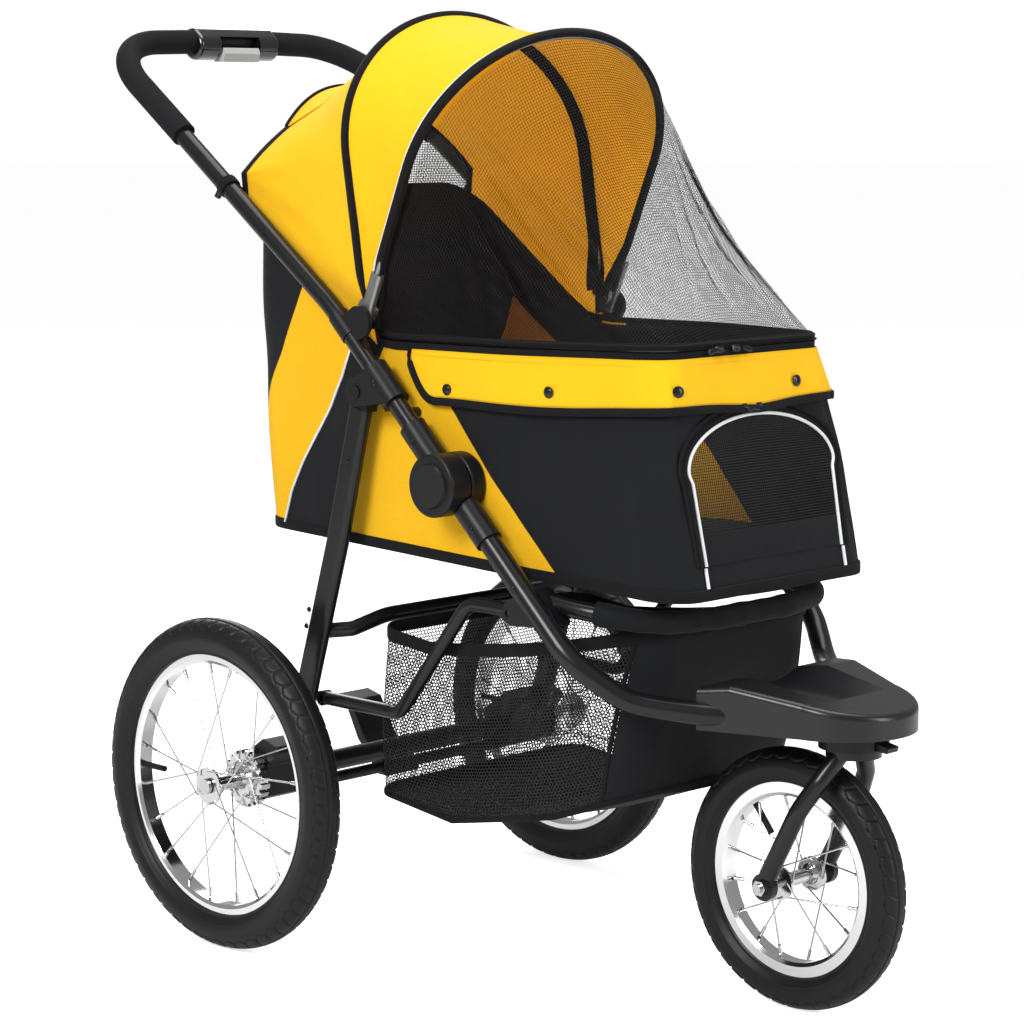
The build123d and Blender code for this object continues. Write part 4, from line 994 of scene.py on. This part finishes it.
hoopTrim("hoodRib", c["middle"], -0.5, ring(5.0, 5.0, 12, 3.0), bindingTape, "handle_frame",
         foot=-8.0)
hoopTrim("hoodFrontBinding", c["front"], 3.0, ring(5.2, 5.0, 12, 3.0), bindingTape, "front_bow",
         foot=16.0, shift=1.5)
hoopTrim("hoodPiping", c["front"], 3.6, ring(1.4, 1.4, 8), pipingTape, "front_bow",
         foot=6.0, shift=-5.2)
hoopTrim("hoodRearBinding", c["rear"], 0.5, ring(5.0, 2.4, 12, 3.0), bindingTape, "handle_frame",
         foot=-26.0, tuck=5.0)
hoopTrim("hoodInnerBand", c["middle"], -10.0, ring(8.0, 1.0, 12, 4.0), bindingTape, "handle_frame",
         foot=20.0)

# mesh vent that closes the rear arch above the cabin's rear wall
ventU, ventV = grid(24, 60)
ventTop = hoopLine(c["rear"], ventV, -26.0, 5.0)
ventLow = stack(np.full(ventV.shape, -287.0), ventTop[..., 1] * 0.96, np.full(ventV.shape, 868.0))
vent = ventLow + (ventTop - ventLow) * ventU[..., None]
vent[..., 0] -= 2.5 * np.sin(math.pi * ventU) * np.sin(math.pi * ventV)
rearVent = makePiece("rearVent", {"points": facing(vent, (0, 0, 850)), "spread": True}, [doorNet])
thicken(rearVent, 0.25)
ventArea, ventDown, ventOver = area(vent)
print("vent cut", round(ventDown, 3), round(ventOver, 3), "area", round(ventArea, 3))
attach(rearVent, "handle_frame")

# a small hood over the vent, standing out from the rear edge and sewn down at both ends
flapU, flapV = grid(16, 48)
flapPlace = 0.40 + 0.20 * flapV
flapBase = canopySpan(c["rear"], c["middle"], 0.30 + 0 * flapU, flapPlace, c["foot"][0], c["foot"][1], 5.0,
                      c["tuck"], 7.0) + np.array([0, 0, 2.0])
flapStand = np.sin(math.pi * flapV)[..., None] * np.array([-26.0, 0.0, 12.0]) + np.array([-2.0, 0, 2.0])
flapOuter = hoopLine(c["rear"], flapPlace, c["foot"][0], 5.0) + flapStand
flap = flapBase + (flapOuter - flapBase) * flapU[..., None]
rearFlap = makePiece("rearFlap", {"points": facing(flap, (-270, 0, 960))}, [yellowCloth, liningCloth])
thicken(rearFlap, 1.2, innerSlot=1)
flapArea, flapDown, flapOver = area(flap)
print("flap cut", round(flapDown, 3), round(flapOver, 3), "area", round(flapArea, 3))
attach(rearFlap, "handle_frame")
flapEdge = makePiece("rearFlapBinding", sweep(flap[-1], ring(3.6, 2.0, 10, 3.0), up=(-1, 0, 0.2)), [bindingTape])
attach(flapEdge, "handle_frame")

# straps that tie the hood's rear corners to the handle tubes
ties = []
for side in (-1, 1):
    tubeAxis = unit(np.array([-1.0, 0, 0.7319]))
    centre = np.array([-293.0, side * 205.0, 885.0])
    turn = np.linspace(0, 2 * math.pi, 24, endpoint=False)[:, None]
    across = np.cross(tubeAxis, (0, 1.0, 0))
    loop = centre + 12.4 * (np.cos(turn) * np.array([0, 1.0, 0]) + np.sin(turn) * across)
    ties.append(sweep(loop, ring(1.0, 6.0, 10, 4.0), up=tubeAxis, closed=True))
    strap = np.linspace(centre + np.array([0, -side * 12.5, 0]), (-286.0, side * 184.0, 872.0), 6)
    ties.append(sweep(strap, ring(5.0, 0.9, 10, 4.0), up=(0, side, 0.2)))
hoodTies = makePiece("hoodTies", ties, [bindingTape])
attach(hoodTies, "handle_frame")
print("canopy made")

# mesh window

windowSize = {"hoopHalf": 197.0, "hoopFoot": 12.0, "sag": 16.0, "wall": 0.25}


def rimCurve(v):
    # the rim's front part, from the right pivot round to the left one
    start = loopShareAt(-58.0)
    s, w = loopAt(start + (1 - 2 * start) * v)
    points = cabinSkin(s, w, np.ones(s.shape), 0.5)
    points[..., 2] += 3.0
    return points


# shares along the hoop and along the rim between which each pleat runs, and its depth
windowPleats = [(0.300, 0.150, 4.0), (0.315, 0.235, 7.0), (0.330, 0.315, 8.0), (0.345, 0.372, 7.0),
                (0.352, 0.405, 6.0)]


def windowGrid(rows, cols):
    # ruled from the front hoop to the rim, drawn in between, with folds that fan from the hoop's top corners
    w = windowSize
    u, v = grid(rows, cols)
    ox, oz, lean, half, leg, rise = canopySize["front"]
    top = hoopLine((ox + 11, oz - 4, lean, w["hoopHalf"], leg, rise), v, w["hoopFoot"], canopySize["tuck"])
    points = top + (rimCurve(v) - top) * u[..., None]
    centre = np.array([60.0, 0.0, 740.0])
    inward = unit(centre - points)
    held = np.sin(math.pi * np.clip(u, 0, 1))
    mirrored = np.minimum(v, 1 - v)
    pull = w["sag"] * held * ease(0.05, 0.35, mirrored)
    fold = ripple(u, v, [(2.6, 1.5, 58.0, 0.6), (1.8, -2.4, 91.0, 1.9), (1.0, 4.0, 133.0, 0.4)])
    fine = ripple(u, v, [(0.7, 21.0, 160.0, 0.0), (0.6, -17.0, 210.0, 1.0)])
    slack = ease(0.15, 0.35, mirrored)
    pleat = np.zeros_like(v)
    for start, end, depth in windowPleats:
        pleat = pleat + depth * np.exp(-((mirrored - start - (end - start) * u) / 0.0042) ** 2)
    return points + inward * (pull + (fold * slack * 0.6 + fine + pleat) * held ** 0.7)[..., None]


windowPoints = windowGrid(60, 520)
windowSheet = makePiece("windowSheet", {"points": facing(windowPoints, (60, 0, 740)), "spread": True},
                        [windowNet])
thicken(windowSheet, windowSize["wall"])
windowArea, windowDown, windowOver = area(windowPoints)
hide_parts("canopy_window")


def withWindow(piece):
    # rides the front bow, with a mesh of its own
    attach(piece, "front_bow")
    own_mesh(piece)


withWindow(windowSheet)
print("window area", round(windowArea, 3), "cut", round(windowDown, 3), round(windowOver, 3))
windowHem = makePiece("windowHem", sweep(windowPoints[-1, ::2], ring(1.4, 4.0, 10, 3.0)), [bindingTape])
withWindow(windowHem)
print("window made")

# basket

basketSize = {
    "bottom": ((-84.0, 192.0), (45.0, 176.0), (200.0, 206.0), (284.0, 236.0)),
    "top": ((-80.0, 380.0), (8.0, 376.0), (326.0, 420.0)), "half": 168.0, "frontHalf": 122.0,
    "panelFrom": 276.0, "belly": 7.0,
}


def basketSkin(share, wide, rise, proud=0.0):
    # basket wall, like the cabin's: share along, wide across, rise up, with a swollen lower half and pleats
    b = basketSize
    xLow = -84 + 368 * share
    xHigh = -80 + 406 * share
    zLow = np.interp(xLow, *zip(*b["bottom"]))
    zHigh = np.interp(xHigh, *zip(*b["top"])) - 10 * np.sin(math.pi * share) * (np.abs(wide) > 0.9)
    x = xLow + (xHigh - xLow) * rise
    z = zLow + (zHigh - zLow) * rise
    taper = ease(150, 360, x)
    half = b["half"] + (b["frontHalf"] - b["half"]) * taper
    outX = np.sign(share - 0.5) * ease(0.93, 1.0, np.abs(share * 2 - 1))
    outY = np.sign(wide) * ease(0.75, 1.0, np.abs(wide))
    size = np.maximum(np.hypot(outX, outY), 1e-6)
    swell = b["belly"] * np.sin(math.pi * np.clip(rise * 0.9 + 0.05, 0, 1) ** 0.8)
    pleats = ripple(x, z, [(2.2, 0.055, 0.012, 0.4), (1.4, 0.11, -0.02, 1.2), (0.8, 0.19, 0.03, 0.2)])
    swell = swell + pleats * (1 - rise * 0.8) * ease(0, 0.12, rise) + proud
    return stack(x + outX / size * swell * 0.5, wide * half + outY / size * swell, z)


bShare, bWide = planLoop(300)
bRise = np.linspace(0, 1, 34)
basketWall = basketSkin(bShare[:, None], bWide[:, None], bRise[None, :])
basketWall = facing(np.concatenate([basketWall, basketWall[:1]]), (100, 0, 300))
rim, foot = basketWall[:, -1], basketWall[:, 0]
if rim[0, 2] < foot[0, 2]:
    rim, foot = foot, rim
middleX = basketWall[..., 0].mean(1)
solid = middleX > basketSize["panelFrom"]
parts = []
edges = np.flatnonzero(np.diff(solid.astype(int)))
cuts = np.concatenate([[0], edges + 1, [len(solid) - 1]])
for a, b in zip(cuts[:-1], cuts[1:]):
    parts.append({"points": basketWall[a:b + 1], "material": 1 if solid[(a + b) // 2] else 0, "spread": True})
inward = np.linspace(1, 0, 16)[None, :, None]
basketUnder = foot[:, None] * np.array([1, 0, 1]) + foot[:, None] * np.array([0, 1, 0]) * inward
basketUnder[..., 2] -= 9.0 * np.sin(math.pi / 2 * (1 - inward[..., 0]))
parts.append({"points": facing(basketUnder, (100, 0, 300)), "material": 1})
basketBag = makePiece("basketBag", parts, [basketNetting, blackCloth])
thicken(basketBag, 0.3)
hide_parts("basket")


def withBasket(piece):
    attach(piece, "chassis")
    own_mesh(piece)
    return piece


withBasket(basketBag)
hems = [sweep(rim[:-1], ring(2.0, 7.5, 12, 4.0), closed=True),
        sweep(foot[:-1], ring(2.4, 3.6, 10, 3.0), closed=True)]
for column in edges:
    hems.append(sweep(basketWall[column, :], ring(3.0, 1.6, 10, 3.0), up=(0, 1, 0)))
basketHem = makePiece("basketHem", hems, [bindingTape])
withBasket(basketHem)


def filleted(points, radii, steps=9):
    # straight runs joined by arcs: each corner starts radius * tan(half the turn) before it
    points = np.asarray(points, float)
    path = [points[:1]]
    for before, corner, after, radius in zip(points, points[1:], points[2:], radii):
        a, b = unit(before - corner), unit(after - corner)
        half = (math.pi - math.acos(float(a @ b))) / 2
        reach = radius * math.tan(half)
        centre = corner + unit(a + b) * radius / math.cos(half)
        first, last = corner + a * reach - centre, corner + b * reach - centre
        t = np.linspace(0, 1, steps)[:, None]
        swing = unit(first + (last - first) * t)
        path.append(centre + swing * radius)
    return np.concatenate(path + [points[-1:]])


# the solid panel's hem is a sleeve round the front of the rail
railPath = filleted([(186, -181, 449), (250, -172, 441), (324, -140, 433), (340, -60, 431), (340, 60, 431),
                     (324, 140, 433), (250, 172, 441), (186, 181, 449)], [150, 60, 60, 60, 60, 150])
sleeved = evenly(railPath, 5)
sleeved = sleeved[sleeved[:, 0] > 262]
turn = np.arange(len(sleeved))
gather = 1 + 0.025 * np.sin(turn * 0.9) + 0.03 * np.sin(turn * 0.37 + 1)
railSleeve = makePiece("railSleeve", sweep(sleeved, ring(12.2, 12.8, 18), taper=gather), [blackCloth])
withBasket(railSleeve)
print("basket made")

# mat: a quilted pad blown up by cloth pressure

matSize = {"voxel": 0.006, "pressure": 4.0, "frames": 20, "cap": 0.007}
lowCorner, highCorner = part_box("cabin_mat")


def matBlock():
    # superellipsoid slab: |x|^6 + |y|^6 + |z|^2.4 = 1, a little smaller than the mat's box
    u, v = grid(40, 90)
    lat, lon = (u - 0.5) * math.pi, v * 2 * math.pi
    power = 2 / 6.0
    cosLat = np.abs(np.cos(lat)) ** (2 / 2.4)
    x = cosLat * np.sign(np.cos(lon)) * np.abs(np.cos(lon)) ** power
    y = cosLat * np.sign(np.sin(lon)) * np.abs(np.sin(lon)) ** power
    z = np.sign(np.sin(lat)) * np.abs(np.sin(lat)) ** (2 / 2.4)
    low, high = np.array(lowCorner) / perMm, np.array(highCorner) / perMm
    centre, half = (low + high) / 2, (high - low) / 2
    tilt = (464 - 488) / 650
    half = half * np.array([0.97, 0.97, 0.3])
    px = centre[0] + half[0] * x
    return stack(px, centre[1] + half[1] * y, centre[2] + 4 + tilt * (px - centre[0]) + 6.0 * z)


matPad = makePiece("cabinPad", {"points": facing(matBlock(), (60, 0, 490))}, [blackCloth])
remesh = matPad.modifiers.new("voxels", "REMESH")
remesh.mode = "VOXEL"
remesh.voxel_size = matSize["voxel"]
applyAll(matPad)
before = np.zeros(len(matPad.data.vertices) * 3)
matPad.data.vertices.foreach_get("co", before)
before = before.reshape(-1, 3)
cloth = matPad.modifiers.new("air", "CLOTH")
cloth.settings.use_pressure = True
cloth.settings.uniform_pressure_force = matSize["pressure"]
cloth.settings.effector_weights.gravity = 0
cloth.point_cache.frame_end = matSize["frames"]
for step in range(1, matSize["frames"] + 1):
    bpy.context.scene.frame_set(step)
applyAll(matPad)
bpy.context.scene.frame_set(1)
after = np.zeros(len(matPad.data.vertices) * 3)
matPad.data.vertices.foreach_get("co", after)
move = after.reshape(-1, 3) - before
length = np.linalg.norm(move, axis=1, keepdims=True)
move = move * np.minimum(1, matSize["cap"] / np.maximum(length, 1e-9))
# sewn channels across the pad every 90 mm
x = before[:, 0]
channel = np.exp(-((np.mod(x + 0.045, 0.09) - 0.045) / 0.005) ** 2)
placed = before + move
placed[:, 2] -= np.sign(move[:, 2]) * channel * 0.004
matPad.data.vertices.foreach_set("co", placed.ravel())
soften(matPad)
matPad.data.polygons.foreach_set("use_smooth", [True] * len(matPad.data.polygons))
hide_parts("cabin_mat")
withCabin(matPad)
print("mat made,", len(matPad.data.polygons), "faces")

# tyres

rearTyre = {"radius": 195.0, "section": 23.0, "blocks": 58, "around": 1160}
tyreSizes = {
    "wheel_left": rearTyre,
    "wheel_right": rearTyre,
    "front_wheel": {"radius": 145.0, "section": 20.5, "blocks": 42, "around": 1008},
}


def tyreGrid(name):
    # torus with a tread: groove depth is a function of the turn and of the angle across the section
    t = tyreSizes[name]
    low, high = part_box(name + "_tyre")
    centre = (np.array(low) + np.array(high)) / 2 / perMm
    turn = np.linspace(0, 2 * math.pi, t["around"], endpoint=False)[:, None]
    arc = np.linspace(-2.35, 2.35, 70)[None, :]
    # scallops edge the tread, a curved groove runs inwards from each cusp, two grooves run round the crown
    edge = np.abs(arc)
    scallop = 0.86 + 0.20 * np.abs(np.sin(turn * t["blocks"] / 2))
    slant = np.abs(np.sin(turn * t["blocks"] / 2 + np.sign(arc) * 1.5 * (0.86 - edge)))
    border = np.exp(-((edge - scallop) / 0.045) ** 2) * 1.7
    crown = np.exp(-((edge - 0.26) / 0.045) ** 2) * 1.4
    branches = np.exp(-(slant / 0.22) ** 2) * 1.5 * ease(0.28, 0.36, edge) * (1 - ease(0.82, 0.90, edge))
    wall = ease(0.0, 0.06, edge - scallop) * 0.9
    rings = 0.35 * np.exp(-((edge - 1.42) / 0.03) ** 2) - 0.6 * np.exp(-((edge - 1.95) / 0.05) ** 2)
    size = t["section"] - np.maximum(np.maximum(border, crown), np.maximum(branches, wall)) - rings
    ringRadius = t["radius"] - t["section"]
    r = ringRadius + size * np.cos(arc)
    y = centre[1] + size * np.sin(arc) * (1 - 0.06 * ease(1.4, 2.3, edge))
    outer = stack(centre[0] + r * np.sin(turn), y, centre[2] + r * np.cos(turn))
    # the inner wall turns back in 3 mm towards the rim
    lipRadius = r[:, [-1, 0]] - 3
    lip = stack(centre[0] + lipRadius * np.sin(turn), y[:, [-1, 0]], centre[2] + lipRadius * np.cos(turn))
    return np.concatenate([outer, lip], 1)


for name in tyreSizes:
    piece = makePiece(name + "Tread", {"points": tyreGrid(name), "closedRows": True, "closedCols": True},
                      [finishes["tyre"]], weld=False, angle=40)
    shape = bmesh.new()
    shape.from_mesh(piece.data)
    bmesh.ops.recalc_face_normals(shape, faces=shape.faces)
    shape.to_mesh(piece.data)
    shape.free()
    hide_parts(name + "_tyre")
    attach(piece, name)
print("tyres made")

# floor, light and camera

floorMesh = bpy.data.meshes.new("studioFloor")
floorMesh.from_pydata([(-40, -40, 0), (40, -40, 0), (40, 40, 0), (-40, 40, 0)], [], [(0, 1, 2, 3)])
studioFloor = bpy.data.objects.new("studioFloor", floorMesh)
bpy.context.scene.collection.objects.link(studioFloor)
paper = Finish("studio_paper", (0.86, 0.86, 0.86), 0.7, Emission_Strength=0.68)
floorSeen = paper.node("ShaderNodeLightPath")
paper.put("Emission Color", paper.mix(floorSeen, (0.05, 0.05, 0.05), (1.0, 1.0, 1.0)))
paper.put("Base Color", paper.mix(paper.noise(3.0), (0.85, 0.85, 0.85), (0.87, 0.87, 0.87)))
floorMesh.materials.append(paper.material)

world = bpy.data.worlds.new("studio")
bpy.context.scene.world = world
world.use_nodes = True
# white behind the object, dimmer where it lights and is mirrored
sky = world.node_tree.nodes["Background"]
sky.inputs[0].default_value = (1.0, 1.0, 1.0, 1)
seen = world.node_tree.nodes.new("ShaderNodeLightPath")
strength = world.node_tree.nodes.new("ShaderNodeMapRange")
strength.inputs[3].default_value, strength.inputs[4].default_value = 0.34, 1.05
world.node_tree.links.new(seen.outputs[0], strength.inputs[0])
world.node_tree.links.new(strength.outputs[0], sky.inputs[1])


def softbox(name, at, size, power, aim=(0, 0, 0.55)):
    light = bpy.data.lights.new(name, "AREA")
    light.shape = "RECTANGLE"
    light.size, light.size_y = size
    light.energy = power
    lamp = bpy.data.objects.new(name, light)
    bpy.context.scene.collection.objects.link(lamp)
    lamp.location = at
    lamp.rotation_euler = (Vector(aim) - Vector(at)).to_track_quat("-Z", "Y").to_euler()


softbox("keyLight", (0.6, -3.4, 2.6), (1.5, 1.5), 140)
softbox("sideLight", (3.4, 0.9, 1.6), (1.0, 2.2), 60)
softbox("topLight", (0.0, 0.3, 3.4), (2.2, 2.2), 70)
softbox("backLight", (-2.8, 1.6, 2.0), (1.4, 1.8), 45)

cameraSize = {"at": (2.368, -2.417, 0.975), "azimuth": 44.75, "elevation": 7.86, "lens": 102.66}
camera = bpy.data.objects.new("camera", bpy.data.cameras.new("camera"))
bpy.context.scene.collection.objects.link(camera)
turn, tilt = math.radians(cameraSize["azimuth"]), math.radians(cameraSize["elevation"])
back = Vector((math.sin(turn) * math.cos(tilt), -math.cos(turn) * math.cos(tilt), math.sin(tilt)))
camera.location = cameraSize["at"]
camera.rotation_euler = (-back).to_track_quat("-Z", "Y").to_euler()
camera.data.lens = cameraSize["lens"]
camera.data.sensor_width = 36.0
camera.data.clip_end = 60.0
bpy.context.scene.camera = camera
bpy.context.scene.view_settings.view_transform = "Standard"
print("studio made")
